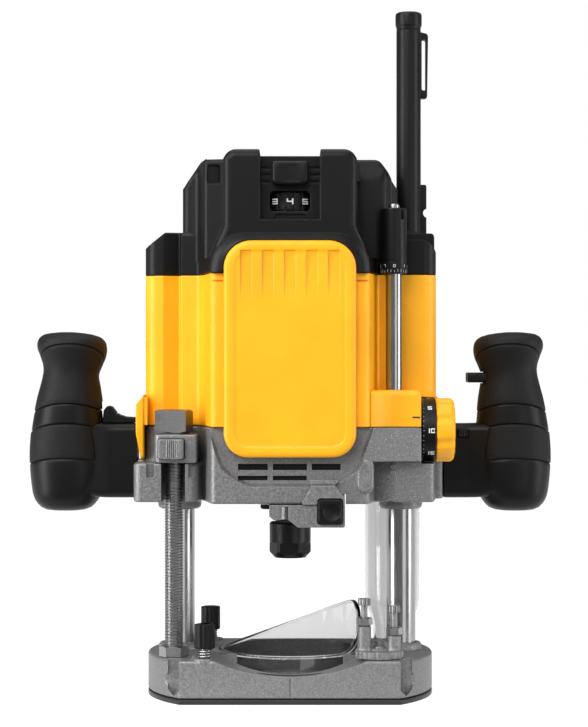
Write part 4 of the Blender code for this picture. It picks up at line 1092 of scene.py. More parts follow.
def build_cover():
    low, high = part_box("top_cover")
    wall = 0.0028
    mid = common(prism(upper_plan(), 0.2550, 0.3400), prism(tiers(), -0.1, 0.1, "Y"),
                 prism(box_outline(-0.0638, 0.0638, 0.25, 0.3168, 0.0), -0.1, 0.1, "Y"))
    slope = [(-0.0460, 0.3030), (-0.0353, 0.3030), (-0.0285, 0.3200), (-0.0460, 0.3200)]
    mid = soften(cut(mid, prism(slope, 0.0387, 0.0700, "X")), 0.0022, 4, 35)
    crown = prism(rounded([(-0.0386, 0.2700, 0.0), (0.0386, 0.2700, 0.0), (0.0386, high.z - 0.0004, 0.0075),
                           (-0.0386, high.z - 0.0004, 0.0075)], 0.0, 10), FRONT, 0.0560, "Y")
    crown = soften(crown, 0.0042, 4, 50)
    crown = soften(cut(crown, box(-0.0175, 0.0175, -0.0900, 0.0400, 0.3160, 0.4000)), 0.0009, 3, 50)
    shell = union(shoulders(low.z), flared_barrel(low.z), mid, crown)
    hollow = union(prism(inner_plan(), 0.2000, 0.2590),
                   common(prism(upper_plan(wall), 0.2000, 0.3400), prism(tiers(wall), -0.09, 0.09, "Y")))
    hollow = cut(hollow, prism([(y + wall, z) for y, z in slope], 0.0350, 0.0700, "X"))
    for name in ("left", "right"):
        near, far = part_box(f"plunge_spring_{name}")
        room = 0.0006
        hollow = union(hollow, box(near.x - room, far.x + room, near.y - room, far.y + room, 0.2000,
                                   far.z + 0.0020))
    hollow = cut(hollow, box(-0.0203, 0.0203, -0.0900, 0.0428, 0.3132, 0.4000))
    shell = cut(shell, hollow)
    corners = [(-0.0458, 0.2200, 0.001), (0.0458, 0.2200, 0.001), (0.0458, 0.2718, 0.020),
               (-0.0458, 0.2718, 0.020)]
    steps = ((0.0, -0.0580), (0.0, -0.0603), (0.0030, -0.0632), (0.0068, -0.0641))
    collar = tapered(corners, steps, fine=10)
    collar = common(collar, box(-0.1, 0.1, -0.1, 0.1, low.z, 0.3))
    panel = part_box("front_panel")
    inside = rounded([(panel[0].x, 0.1, 0.014), (panel[1].x, 0.1, 0.014), (panel[1].x, panel[1].z, 0.016),
                      (panel[0].x, panel[1].z, 0.016)], -0.0004, 12)
    collar = cut(collar, prism(inside, -0.0800, -0.0601, "Y"))
    tower = soften(prism(box_outline(-0.0206, 0.0206, 0.2775, 0.3160, 0.0020), -0.0598, -0.0485, "Y"),
                   0.0004, 2)
    shell = union(shell, collar, tower)
    bezel = box_outline(-0.0117, 0.0117, 0.2846, 0.2966, 0.0028)
    cuts = [
        prism(box_outline(-0.0175, 0.0175, 0.2797, 0.4, 0.0006), -0.0800, -0.0520, "Y"),
        prism(bezel, -0.0800, -0.0400, "Y"),
        prism([(-0.0100, 0.2800), (0.0100, 0.2800), (0.0080, 0.2832), (-0.0080, 0.2832)], -0.0640, -0.0512,
              "Y"),
    ]
    for side in SIDES:
        for z0, z1 in ((0.3010, 0.3026), (0.3050, 0.3066), (0.3090, 0.3106)):
            x0, x1 = span(side, 0.0114, 0.0171)
            cuts.append(box(x0, x1, -0.0560, -0.0512, z0, z1))
    cuts.append(prism(box_outline(-0.0486, -0.0405, 0.3022, 0.3134, 0.0018), -0.0450, -0.0318, "Y"))
    cuts += louvres(-1) + louvres(1)
    for k in range(6):
        z = 0.2560 + 0.0062 * k
        cuts.append(prism(box_outline(-0.0280, 0.0280, z, z + 0.0026, 0.0012), 0.0600, 0.0700, "Y"))
    for side in SIDES:
        cuts.append(rod((side * COVER_SCREW_X, 0.0), 0.0046, 0.3201, 0.33, count=40))
    shell = cut(shell, *cuts)
    piece("cover_shell", shell, "black", "carriage", "top_cover")
    screws = []
    for side in SIDES:
        x = side * COVER_SCREW_X
        head = turned([(0, 0.3200), (0.0040, 0.3200), (0.0040, 0.3207), (0.0032, 0.3214), (0, 0.3215)],
                      (x, 0), count=40)
        screws.append(cut(head, *cross(x, 0, 0.0005, 0.3205, 0.33)))
    piece("cover_screws", together(*screws), "oxide", "carriage")


def build_switches():
    low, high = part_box("slide_switch")
    corners = [(low.x, low.z, 0.0035), (high.x, low.z, 0.0035), (high.x, high.z, 0.0015),
               (low.x, high.z, 0.0015)]
    rings = [(0.0, high.y), (0.0, low.y + 0.0016), (0.0004, low.y + 0.0008), (0.0012, low.y + 0.0002),
             (0.0022, low.y)]
    button = tapered(corners, rings)
    dish = prism(circle(0.0, low.y - 0.0600, 0.0604, 320), low.z + 0.0018, high.z - 0.0018)
    piece("slide_button", cut(button, dish), "black", "slide_switch", "slide_switch")
    low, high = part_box("speed_dial")
    y = (low.y + high.y) / 2
    radius = high.x
    profile = [(0.0030, low.z), (radius - 0.0006, low.z), (radius, low.z + 0.0006),
               (radius, low.z + 0.0030), (radius - 0.0003, low.z + 0.0034),
               (radius - 0.0003, high.z - 0.0028), (radius, high.z - 0.0024), (radius, high.z - 0.0006),
               (radius - 0.0006, high.z), (0.0030, high.z)]
    drum = turned(profile, (0, y), count=120, hollow=True)
    grips = []
    for k in range(20):
        angle = math.tau * (k + 0.5) / 20
        x, v = (radius + 0.0002) * math.cos(angle), y + (radius + 0.0002) * math.sin(angle)
        grips.append(rod((x, v), 0.0007, high.z - 0.0026, high.z + 0.001, count=16))
        grips.append(rod((x, v), 0.0007, low.z - 0.001, low.z + 0.0030, count=16))
    piece("speed_drum", cut(drum, *grips), "black", "speed_dial", "speed_dial")
    numbers = []
    for k in range(6):
        angle = math.radians(35.5 * (k - 3))
        centre = Vector((radius * math.sin(angle), y - radius * math.cos(angle), (low.z + high.z) / 2))
        numbers.append(numeral(str(k + 1), 0.0034, centre, (math.sin(angle), -math.cos(angle), 0), wide=1.15))
    piece("speed_numbers", together(*numbers), "white", "speed_dial")


STROKES = {"0": "abcdef", "1": "bc", "2": "abged", "3": "abgcd", "4": "fgbc", "5": "afgcd", "6": "afgedc",
           "7": "abc"}


def numeral(text, height, centre, outward, up=(0, 0, 1), wide=0.85, stroke=0.22):
    """Blocky printed figures, lying a hair above a face that looks outward."""
    half, width, line = height / 2, height * wide, height * stroke
    bars = []
    for n, figure in enumerate(text):
        strokes = STROKES[figure]
        at = (n - (len(text) - 1) / 2) * (width + line)
        left, right = at - width / 2, at + width / 2
        top = half - (line if "a" in strokes else 0.0)
        foot = (line if "d" in strokes else 0.0) - half
        waist = line / 2 if "g" in strokes else 0.0
        spans = {
            "a": (left, right, half - line, half), "g": (left, right, -line / 2, line / 2),
            "d": (left, right, -half, line - half), "f": (left, left + line, waist, top),
            "b": (right - line, right, waist, top), "e": (left, left + line, foot, -waist),
            "c": (right - line, right, foot, -waist),
        }
        bars += [box(*spans[name], 0.0, 0.00008) for name in strokes]
    away = Vector(outward).normalized()
    along = Vector(up).cross(away).normalized()
    turn = Matrix((along, away.cross(along), away)).transposed().to_4x4()
    figures = together(*bars)
    figures.transform(Matrix.Translation(Vector(centre) + away * 0.00002) @ turn)
    return figures


def build_mast():
    low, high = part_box("cord_guide_mast")
    y = (low.y + high.y) / 2
    x = low.x + 0.0083
    top = high.z
    profile = [(0, low.z), (0.0083, low.z), (0.0083, low.z + 0.0010), (0.0076, low.z + 0.0022),
               (0.00755, top - 0.0095), (0.0079, top - 0.0090), (0.00815, top - 0.0080),
               (0.00815, top - 0.0022), (0.0078, top - 0.0010), (0.0066, top - 0.0003), (0.0040, top),
               (0, top)]
    stem = turned(profile, (x, y), count=96)
    fin = rounded([(x, 0.3610, 0.0), (high.x - 0.0006, 0.3610, 0.0016), (high.x, 0.4010, 0.0022),
                   (x, 0.4040, 0.0)])
    fin = soften(prism(fin, y - 0.0032, y + 0.0032, "Y"), 0.0006, 3)
    foot = rounded([(x, 0.2752, 0.0), (0.0843, 0.2752, 0.001), (0.0843, 0.3076, 0.0012), (x, 0.3076, 0.0)])
    foot = soften(prism(foot, y - 0.0040, y + 0.0040, "Y"), 0.0006, 3)
    foot = cut(foot, rod((0.0852, 0.2900), 0.0030, y - 0.0100, y + 0.0100, "Y", count=40))
    collar = rod((x, y), 0.0083, 0.2752, 0.2782, edge=0.0005)
    slot = prism(box_outline(0.0814, 0.0838, 0.3660, 0.3975, 0.0011, 8), y - 0.0100, y + 0.0100, "Y")
    seam = turned([(0.0082, 0.4032), (0.0070, 0.4032), (0.0070, 0.4037), (0.0082, 0.4037)], (x, y),
                  hollow=True, count=96)
    piece("guide_mast", cut(union(stem, fin, foot, collar), slot, seam), "black", "carriage",
          "cord_guide_mast")


# ---------------------------------------------------------------- spindle

SHAFT_BORE = 0.0033  # holes that the motor's shaft fits


def build_spindle():
    low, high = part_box("collet_nut")
    radius = high.x
    profile = [(0, low.z), (radius - 0.0030, low.z), (radius - 0.0004, low.z + 0.0030),
               (radius, low.z + 0.0036), (radius, high.z - 0.0010), (radius - 0.0010, high.z), (0, high.z)]
    nut = turned(profile, (0, 0), count=96)
    flats = union(prism(circle(0, 0, 0.0225 / math.sqrt(3), 6, math.radians(-3)), 0.07, 0.0897),
                  rod((0, 0), 0.0200, 0.0897, 0.11))
    nut = common(nut, flats)
    groove = sleeve(0.0120, 0.0150, 0.0894, 0.0899)
    nut = cut(nut, rod((0, 0), 0.0104, 0.0843, 0.1035), rod((0, 0), 0.0076, 0.0700, 0.0900), groove)
    piece("clamping_nut", nut, "oxide", "collet_nut", "collet_nut")
    jaws = turned([(0.00635, 0.0846), (0.0075, 0.0846), (0.0086, 0.0880), (0.0086, 0.1000),
                   (0.00635, 0.1000)], (0, 0), count=80, hollow=True)
    slits = ring_of(6, 0.0, 0.0100, -0.0003, 0.0003, 0.0830, 0.0960)
    piece("collet_jaws", cut(jaws, *slits), "steel", "spindle", "collet")
    profile = [(0, 0.1010), (0.0089, 0.1010), (0.0089, 0.0870), (0.0101, 0.0870), (0.0101, 0.1005),
               (0.0096, 0.1018), (0.0080, 0.1035), (0.0080, 0.1220), (0.0080, 0.1500), (0.0060, 0.1520),
               (0.0060, 0.1690), (0.0030, 0.1700), (0.0030, 0.2750), (0, 0.2750)]
    piece("drive_shaft", turned(profile, (0, 0), count=80), "steel", "spindle", "spindle_shaft")
    build_motor_parts()


def build_motor_parts():
    low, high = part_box("cooling_fan")
    hub = sleeve(SHAFT_BORE, 0.0120, low.z, high.z, 64)
    disc = sleeve(0.0110, high.x, low.z, low.z + 0.0014)
    blades = ring_of(16, 0.0120, high.x - 0.0012, -0.0006, 0.0006, low.z + 0.0010, high.z)
    piece("fan_wheel", together(hub, disc, *blades), "black", "spindle", "cooling_fan")
    low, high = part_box("armature")
    stack = sleeve(SHAFT_BORE, high.x, low.z + 0.006, high.z - 0.006)
    slots = ring_of(12, 0.0180, 0.0300, -0.0009, 0.0009, 0.19, 0.25)
    piece("armature_stack", cut(stack, *slots), "steel", "spindle")
    ends = []
    for z0, z1, inner, outer in ((low.z, low.z + 0.006, 0.0205, 0.0220),
                                 (high.z - 0.006, high.z, 0.0220, 0.0205)):
        ends.append(turned([(0.0040, z0), (inner, z0), (outer, z1), (0.0040, z1)], (0, 0), count=64,
                           hollow=True))
    piece("armature_winding", together(*ends), "copper", "spindle", "armature")
    low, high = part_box("commutator")
    bars = turned([(SHAFT_BORE, low.z), (high.x, low.z), (high.x, low.z + 0.0012),
                   (high.x - 0.0008, low.z + 0.0016), (high.x - 0.0008, high.z), (SHAFT_BORE, high.z)],
                  (0, 0), count=96, hollow=True)
    gaps = ring_of(24, 0.0120, 0.0200, -0.0002, 0.0002, 0.24, 0.27)
    piece("commutator_bars", cut(bars, *gaps), "copper", "spindle", "commutator", slot="brass")
    low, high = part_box("field_stator")
    core = sleeve(0.0240, high.x, low.z, high.z)
    core = cut(core, *ring_of(2, 0.0235, 0.0300, -0.0080, 0.0080, 0.19, 0.25),
               *[moved(box(0.0345, 0.0400, -0.0120, 0.0120, 0.19, 0.25), turn=a)
                 for a in (math.pi / 2, -math.pi / 2)])
    piece("stator_core", core, "steel", "carriage", "field_stator")
    for name, outer, inner in (("lower_bearing", 0.0160, 0.0083), ("upper_bearing", 0.0110, SHAFT_BORE)):
        low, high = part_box(name)
        third = (outer - inner) / 3
        profile = [(inner, low.z), (inner + third, low.z), (inner + third, low.z + 0.0004),
                   (outer - third, low.z + 0.0004), (outer - third, low.z), (outer, low.z), (outer, high.z),
                   (outer - third, high.z), (outer - third, high.z - 0.0004),
                   (inner + third, high.z - 0.0004), (inner + third, high.z), (inner, high.z)]
        piece(f"{name}_race", turned(profile, (0, 0), count=80, hollow=True), "steel", "carriage", name)
    for name in ("brush_holder_left", "brush_holder_right"):
        low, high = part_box(name)
        holder = soften(box(low.x, high.x, low.y, high.y, low.z, high.z), 0.0006, 2)
        x = low.x if low.x > 0 else high.x
        mouth = box(x - 0.0080, x + 0.0080, low.y + 0.0014, high.y - 0.0014, low.z + 0.0014, high.z - 0.0014)
        piece(f"{name}_sleeve", cut(holder, mouth), "brass", "carriage", name)
    low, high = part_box("control_module")
    board = box(low.x, high.x, low.y, high.y, low.z, low.z + 0.0016)
    parts = [box(-0.0260, -0.0040, -0.0100, 0.0080, low.z + 0.0012, high.z),
             rod((0.0120, 0.0060), 0.0062, low.z + 0.001, high.z, edge=0.0005),
             rod((0.0240, -0.0060), 0.0040, low.z + 0.001, high.z - 0.002, edge=0.0004),
             box(-0.0200, 0.0200, 0.0140, 0.0260, low.z + 0.001, high.z - 0.004)]
    piece("speed_controller", union(board, *parts), "black", "carriage", "control_module")


def build_spindle_lock():
    low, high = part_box("spindle_lock_bracket")
    outline = rounded([(low.x, 0.1092, 0.0008), (-0.0096, 0.1070, 0.0006), (-0.0008, 0.1070, 0.001),
                       (0.0046, 0.1027, 0.0008), (high.x, 0.1027, 0.0012), (high.x, 0.1156, 0.0),
                       (low.x, 0.1156, 0.0008)])
    bracket = soften(prism(outline, -0.0620, -0.0250, "Y"), 0.0004, 2)
    lug = rounded([(0.0062, 0.1158, 0.001), (high.x, 0.1158, 0.001), (high.x, 0.1190, 0.001),
                   (0.0258, 0.1268, 0.0010), (0.0122, 0.1268, 0.0012)])
    ledge = rounded([(0.0116, 0.1276, 0.0006), (0.0262, 0.1276, 0.0006), (0.0290, 0.1300, 0.0008),
                     (0.0110, 0.1300, 0.0008)])
    bracket = union(bracket, box(0.0138, 0.0315, -0.0619, -0.0500, 0.1140, 0.1212),
                    soften(prism(lug, low.y, -0.0604, "Y"), 0.0005, 2),
                    soften(prism(ledge, low.y, -0.0604, "Y"), 0.0003, 2),
                    box(0.0122, 0.0256, -0.0630, -0.0604, 0.1260, 0.1280))
    bracket = cut(bracket, box(-0.0053, -0.0010, -0.0700, -0.0200, 0.1000, 0.1146))
    bracket = cut(bracket, prism(box_outline(0.0156, 0.0304, 0.1044, 0.1196, 0.0018), -0.0800, -0.0540, "Y"),
                  prism(circle(0.0230, 0.1095, 0.0031, 24), -0.0600, 0.0, "Y"))
    piece("lock_bracket", bracket, "cast", "carriage", "spindle_lock_bracket")
    low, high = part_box("spindle_lock_button")
    corners = [(low.x, low.z, 0.0020), (high.x, low.z, 0.0020), (high.x, high.z, 0.0020),
               (low.x, high.z, 0.0020)]
    rings = [(0.0, -0.0590), (0.0, low.y + 0.0010), (0.0003, low.y + 0.0004), (0.0010, low.y)]
    cap = tapered(corners, rings, fine=6)
    x, z = (low.x + high.x) / 2, (low.z + high.z) / 2
    dish = turned([(0, low.y - 0.001), (0.0052, low.y - 0.001), (0.0049, low.y + 0.0007),
                   (0.0028, low.y + 0.0013), (0, low.y + 0.0015)], (x + 0.0013, z), "Y", 64)
    cap = union(cut(cap, dish), rod((x, 0.1095), 0.0027, -0.0600, -0.0130, "Y", 0.0004, 32))
    piece("lock_button", cap, "black", "spindle_lock", "spindle_lock_button")
    low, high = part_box("rubber_bumper")
    at = middle("rubber_bumper")
    buffer = turned([(0, low.z), (0.0031, low.z), (0.0040, low.z + 0.0005), (0.0043, low.z + 0.0014),
                     (0.0040, high.z), (0, high.z)], (at.x, at.y), count=48)
    piece("stop_buffer", buffer, "rubber", "carriage", "rubber_bumper")


# ---------------------------------------------------------------- depth stop

def build_depth_stop():
    low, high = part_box("depth_rod")
    x, y = (low.x + high.x) / 2, (low.y + high.y) / 2
    radius = (high.x - low.x) / 2
    bar = rod((x, y), radius, low.z, 0.2860, edge=0.0006, count=96)
    axis_y, axis_z = depth_axis()
    pitch, rack_top = math.pi * 0.0010, 0.1740
    tip, root = axis_y - 0.0040, axis_y - 0.0063
    gaps = [box(0.0500, 0.0700, tip, 0.0, 0.1000, rack_top)]
    for k in range(-11, 5):
        z = axis_z + k * pitch
        gaps.append(prism([(tip + 0.001, z - 0.40 * pitch), (tip + 0.001, z + 0.40 * pitch),
                           (root, z + 0.22 * pitch), (root, z - 0.22 * pitch)], 0.0500, 0.0700, "X"))
    piece("stop_rod", cut(bar, *gaps), "chrome", "depth_rod", "depth_rod")
    low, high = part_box("fine_adjuster")
    neck = radius + 0.0003
    outer = [(neck, low.z), (0.0074, low.z), (0.0077, low.z + 0.0006), (0.0077, low.z + 0.0066),
             (0.0075, low.z + 0.0070), (0.0075, low.z + 0.0076), (0.0078, low.z + 0.0080),
             (0.0074, high.z - 0.0014), (0.0071, high.z - 0.0005), (0.0064, high.z - 0.0002),
             (0.0058, high.z - 0.0002), (0.0056, high.z - 0.0010), (0.0056, high.z - 0.0012),
             (neck, high.z - 0.0012)]
    barrel = turned(outer, (x, y), count=96, hollow=True)
    notch = moved(box(x + 0.0060, x + 0.0120, y - 0.0011, y + 0.0011, high.z - 0.0070, high.z + 0.001),
                  turn=math.radians(-50), about=(x, y, 0))
    piece("adjuster_sleeve", cut(barrel, notch), "black", "fine_adjuster", "fine_adjuster")
    marks = []
    for k in range(24):
        angle = math.tau * k / 24
        tick = box(0.0075, 0.00775, -0.00007, 0.00007, low.z + 0.0008, low.z + (0.0026 if k % 3 else 0.0020))
        marks.append(moved(tick, (x, y, 0), angle))
    for k in range(8):
        angle = math.tau * k / 8 - math.pi / 2
        centre = (x + 0.0077 * math.cos(angle), y + 0.0077 * math.sin(angle), low.z + 0.0046)
        marks.append(numeral(str(k), 0.0016, centre, (math.cos(angle), math.sin(angle), 0), stroke=0.15))
    piece("adjuster_marks", together(*marks), "white", "fine_adjuster")
    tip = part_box("depth_rod")[1].z
    top = turned([(0, high.z - 0.0040), (0.0034, high.z - 0.0040), (0.0034, tip - 0.0012),
                  (0.0026, tip - 0.0001), (0, tip - 0.0001)], (x, y), count=64)
    top = cut(top, box(x - 0.0060, x + 0.0060, y - 0.0005, y + 0.0005, tip - 0.0010, tip + 0.001))
    piece("adjuster_screw", top, "plated", "depth_rod")


def build_depth_dial():
    axis = depth_axis()
    low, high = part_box("depth_ring")
    radius = (high.z - low.z) / 2
    ring = turned([(0.0036, low.x), (radius - 0.0010, low.x), (radius - 0.0004, low.x + 0.0004),
                   (radius, high.x - 0.0004), (radius - 0.0004, high.x), (0.0036, high.x)], axis, "X", 128,
                  True)
    nicks = []
    for k in range(40):
        angle = math.tau * (k + 0.5) / 40
        v, w = axis[0] + (radius + 0.0001) * math.cos(angle), axis[1] + (radius + 0.0001) * math.sin(angle)
        nicks.append(rod((v, w), 0.0004, low.x - 0.001, low.x + 0.0010, "X", count=12))
    piece("scale_ring", cut(ring, *nicks), "black", "depth_ring", "depth_ring")
    marks = []
    for k in range(8):
        angle = math.radians(45 * (2 - k))
        outward = Vector((0, -math.cos(angle), math.sin(angle)))
        up = Vector((0, math.sin(angle), math.cos(angle)))
        centre = Vector((low.x + 0.0046, *axis)) + outward * (radius - 0.00015)
        marks.append(numeral(str(5 * k), 0.0027, centre, outward, up, 0.90))
    for k in range(40):
        angle = math.tau * k / 40
        tick = box(low.x + 0.0005, low.x + (0.0011 if k % 5 else 0.0015), -0.00008, 0.00008,
                   radius - 0.0009, radius - 0.0003)
        marks.append(moved(tick, (0, *axis), angle, "X"))
    piece("scale_marks", together(*marks), "white", "depth_ring")
    low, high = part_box("depth_knob")
    rings = []
    for inset, x in ((0.0008, low.x), (0.0, low.x + 0.0007), (0.0, high.x - 0.0026),
                     (0.0005, high.x - 0.0014), (0.0014, high.x - 0.0005), (0.0028, high.x)):
        outline = lobed(*axis, radius - inset, 0.0012, 8, 192, math.radians(22.5))
        rings.append([(x, u, v) for u, v in outline])
    knob = loft(rings)
    dish = turned([(0, high.x + 0.001), (0.0115, high.x + 0.001), (0.0105, high.x - 0.0010),
                   (0, high.x - 0.0013)], axis, "X", 96)
    piece("depth_wheel", cut(knob, dish, rod(axis, 0.0031, 0.08, 0.0856, "X", count=32)), "yellow",
          "depth_knob", "depth_knob")
    cap = turned([(0, high.x - 0.0012), (0.0040, high.x - 0.0012), (0.0038, high.x - 0.0004),
                  (0.0020, high.x - 0.0001), (0, high.x - 0.0001)], axis, "X", 48)
    piece("wheel_screw", cut(cap, box(high.x - 0.0006, high.x + 0.001, axis[0] - 0.0030, axis[0] + 0.0030,
                                      axis[1] - 0.0004, axis[1] + 0.0004)), "plated", "depth_knob")


def finish_pinion():
    """The depth rod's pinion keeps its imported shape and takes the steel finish."""
    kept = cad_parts["depth_pinion"].data
    kept.materials.clear()
    kept.materials.append(FINISH["steel"])


# ---------------------------------------------------------------- handles

GRIP_ROWS = (  # height, then inner and outer distance from the middle, and half the depth
    (0.1088, 0.1270, 0.1420, 0.0070), (0.1094, 0.1228, 0.1462, 0.0112), (0.1110, 0.1190, 0.1495, 0.0146),
    (0.1160, 0.1148, 0.1534, 0.0180), (0.1250, 0.1112, 0.1553, 0.0194), (0.1390, 0.1102, 0.1563, 0.0199),
    (0.1500, 0.1105, 0.1560, 0.0198), (0.1600, 0.1115, 0.1549, 0.0195), (0.1750, 0.1128, 0.1521, 0.0188),
    (0.1830, 0.1140, 0.1500, 0.0178), (0.1900, 0.1150, 0.1483, 0.0169), (0.1945, 0.1133, 0.1480, 0.0171),
    (0.2010, 0.1107, 0.1497, 0.0188), (0.2060, 0.1102, 0.1515, 0.0204), (0.2100, 0.1113, 0.1514, 0.0202),
    (0.2130, 0.1148, 0.1496, 0.0178), (0.2148, 0.1215, 0.1460, 0.0128), (0.2157, 0.1290, 0.1390, 0.0060),
)


SEAMS = (  # height at the side, rise at the front and rear, and its bend
    (0.1089, 0.0, 1), (0.1368, 0.0037, 1.5), (0.1560, 0.0050, 1.5), (0.1680, 0.0052, 1.5),
    (0.1950, 0.0134, 0.75), (0.2157, 0.0, 1),
)


def grip_size(height):
    """Inner and outer reach and half depth of a handle at a height, on a smooth curve through its rows."""
    rows = GRIP_ROWS
    i = max(k for k in range(len(rows) - 1) if rows[k][0] <= height or k == 0)
    before, here, there, after = rows[max(i - 1, 0)], rows[i], rows[i + 1], rows[min(i + 2, len(rows) - 1)]
    span = there[0] - here[0]
    t = min(max((height - here[0]) / span, 0.0), 1.0)
    size = []
    for n in (1, 2, 3):
        start_slope = (there[n] - before[n]) / (there[0] - before[0]) * span
        end_slope = (after[n] - here[n]) / (after[0] - here[0]) * span
        size.append((2 * t**3 - 3 * t**2 + 1) * here[n] + (t**3 - 2 * t**2 + t) * start_slope
                    + (3 * t**2 - 2 * t**3) * there[n] + (t**3 - t**2) * end_slope)
    return size


def grip_band(side, low, high, proud=0.0):
    """The handle's skin between two seams."""
    edge, rows, count, squareness = 0.0006, 14, 96, 0.90
    rings = []
    steps = [0.0, 0.0, 0.0] + [k / rows for k in range(1, rows)] + [1.0, 1.0, 1.0]
    trims = [edge * 2.2, edge, edge * 0.2] + [0.0] * (rows - 1) + [edge * 0.2, edge, edge * 2.2]
    lifts = [0.0, edge * 0.15, edge] + [0.0] * (rows - 1) + [-edge, -edge * 0.15, 0.0]
    for t, trim, lift in zip(steps, trims, lifts):
        ring = []
        for k in range(count):
            angle = math.tau * k / count
            turn = abs(math.sin(angle))
            z = (1 - t) * (low[0] + low[1] * turn ** low[2]) + t * (high[0] + high[1]
                                                                    * turn ** high[2]) + lift
            inner, outer, depth = grip_size(z)
            centre, half = (inner + outer) / 2, (outer - inner) / 2 + proud - trim
            cx, cy = math.cos(angle), math.sin(angle)
            x = centre + half * math.copysign(abs(cx) ** squareness, cx)
            y = (depth + proud - trim) * math.copysign(abs(cy) ** squareness, cy)
            ring.append((side * x, y, z))
        rings.append(ring)
    return loft(rings)


def arm(side):
    """The beam from the casting's side, which widens into the handle."""
    rings = []
    for x, half, low, high in ((PAD + 0.0003, 0.0113, 0.1172, 0.1606), (PAD + 0.0010, 0.0115, 0.1168, 0.1610),
                               (0.1050, 0.0116, 0.1168, 0.1610), (0.1100, 0.0122, 0.1169, 0.1611),
                               (0.1145, 0.0136, 0.1172, 0.1613), (0.1180, 0.0152, 0.1178, 0.1613),
                               (0.1215, 0.0168, 0.1190, 0.1611), (0.1260, 0.0178, 0.1210, 0.1605)):
        rings.append([(side * x, u, v) for u, v in box_outline(-half, half, low, high, 0.0046, 6)])
    return loft(rings)


def handle_hollow(side):
    """Room inside a handle for the switch."""
    return box(*span(side, 0.1213, 0.1422), -0.0092, 0.0092, 0.1290, 0.2000)


def control_slot(side):
    """Room for the lock lever in the left handle, and for the catch in the right one."""
    if side > 0:
        return box(0.0997, 0.1063, -0.0300, -0.0050, 0.1529, 0.1573)
    return box(-0.1145, -0.0900, -0.0072, 0.0072, 0.1562, 0.1740)


def build_handles():
    for name, side in (("left", -1), ("right", 1)):
        heel = union(grip_band(side, SEAMS[0], SEAMS[1]), arm(side))
        heel = cut(heel, control_slot(side), handle_hollow(side))
        piece(f"handle_{name}_heel", heel, "black", "carriage", f"handle_{name}", smooth=50)
        parts = ((f"handle_{name}_pad", "soft"), (f"handle_{name}_band", "black"),
                 (f"grip_{name}_sleeve", "soft"), (f"grip_{name}_cap", "soft"))
        for k, (part, look) in enumerate(parts, 1):
            skin = grip_band(side, SEAMS[k], SEAMS[k + 1], 0.0001 if look == "soft" else -0.0002)
            if k < len(parts):
                skin = cut(skin, handle_hollow(side), control_slot(side), arm(side))
            stands_for = [f"grip_{name}"] if part.endswith("_sleeve") else []
            if stands_for and side > 0:
                skin = cut(skin, box(0.1000, 0.1300, -0.0094, 0.0094, 0.1851, 0.1919))
            piece(part, skin, look, "carriage", *stands_for, smooth=50)


def build_controls():
    low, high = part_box("plunge_lock_lever")
    outline = rounded([(-0.0925, 0.1612, 0.0012), (-0.0925, 0.1646, 0.0010), (-0.0987, 0.1650, 0.004),
                       (-0.1034, 0.1667, 0.006), (-0.1068, 0.1710, 0.002), (-0.1092, 0.1718, 0.0018),
                       (-0.1116, 0.1690, 0.002), (-0.1124, 0.1612, 0.0)])
    lever = soften(prism(list(reversed(outline)), low.y, high.y, "Y"), 0.0006, 3, 50)
    grooves = [rod((-0.0995 - 0.0022 * k, 0.1659 + 0.0005 * k), 0.0005, low.y - 0.001, high.y + 0.001, "Y",
                   count=16) for k in range(3)]
    piece("lock_lever", cut(lever, *grooves), "black", "plunge_lock", "plunge_lock_lever")
    low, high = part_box("power_trigger")
    trigger = soften(prism(box_outline(low.y, high.y, low.z, high.z, 0.0016), low.x, high.x, "X"), 0.0008,
                     3, 50)
    dish = prism(circle(low.x - 0.0245, 0.0, 0.0250, 128), low.z - 0.01, high.z + 0.01)
    piece("trigger_blade", cut(trigger, dish), "black", "power_trigger", "power_trigger")
    low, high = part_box("lock_on_button")
    catch = soften(prism(box_outline(low.x, high.x, low.z, high.z, 0.0010), low.y, high.y, "Y"), 0.0005, 3,
                   50)
    ribs = [box(low.x + 0.0012 + 0.0014 * k, low.x + 0.0018 + 0.0014 * k, low.y - 0.001, low.y + 0.0004,
                low.z, high.z) for k in range(3)]
    piece("lock_on_catch", cut(catch, *ribs), "black", "lock_on_button", "lock_on_button")
    low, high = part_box("power_switch")
    body = soften(box(low.x, high.x, low.y, high.y, low.z, high.z), 0.0005, 2)
    tabs = [box(low.x + 0.003 + 0.006 * k, low.x + 0.0036 + 0.006 * k, -0.0025, 0.0025, low.z + 0.0001,
                low.z + 0.003) for k in range(2)]
    plunger = rod((0.0, (low.z + high.z) / 2), 0.0020, low.x + 0.0001, low.x + 0.0040, "X", 0.0003, 32)
    piece("switch_block", union(body, *tabs, plunger), "gloss", "carriage", "power_switch")


def build_plunge_springs():
    for name in ("left", "right"):
        low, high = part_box(f"plunge_spring_{name}")
        at = middle(f"plunge_spring_{name}")
        wire = 0.0007
        spring = coil(at.x, at.y, low.z, high.z, high.x - at.x - wire, wire, 34)
        made = piece(f"return_spring_{name}", spring, "plated", "base", f"plunge_spring_{name}")
        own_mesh(made)


# ---------------------------------------------------------------- stage

SOFTBOXES = (  # name, place, height looked at, width, height, power
    ("key", (-0.60, -1.50, 1.20), 0.20, 1.0, 0.8, 19.0),
    ("front_fill", (0.90, -1.70, 0.30), 0.15, 0.8, 1.2, 5.0),
    ("left_softbox", (-1.10, -0.50, 0.40), 0.20, 0.35, 1.3, 15.0),
    ("right_softbox", (1.12, -0.30, 0.40), 0.20, 0.40, 1.3, 8.0),
    ("top_softbox", (0.0, 0.25, 1.30), 0.20, 0.9, 0.4, 4.0),
)


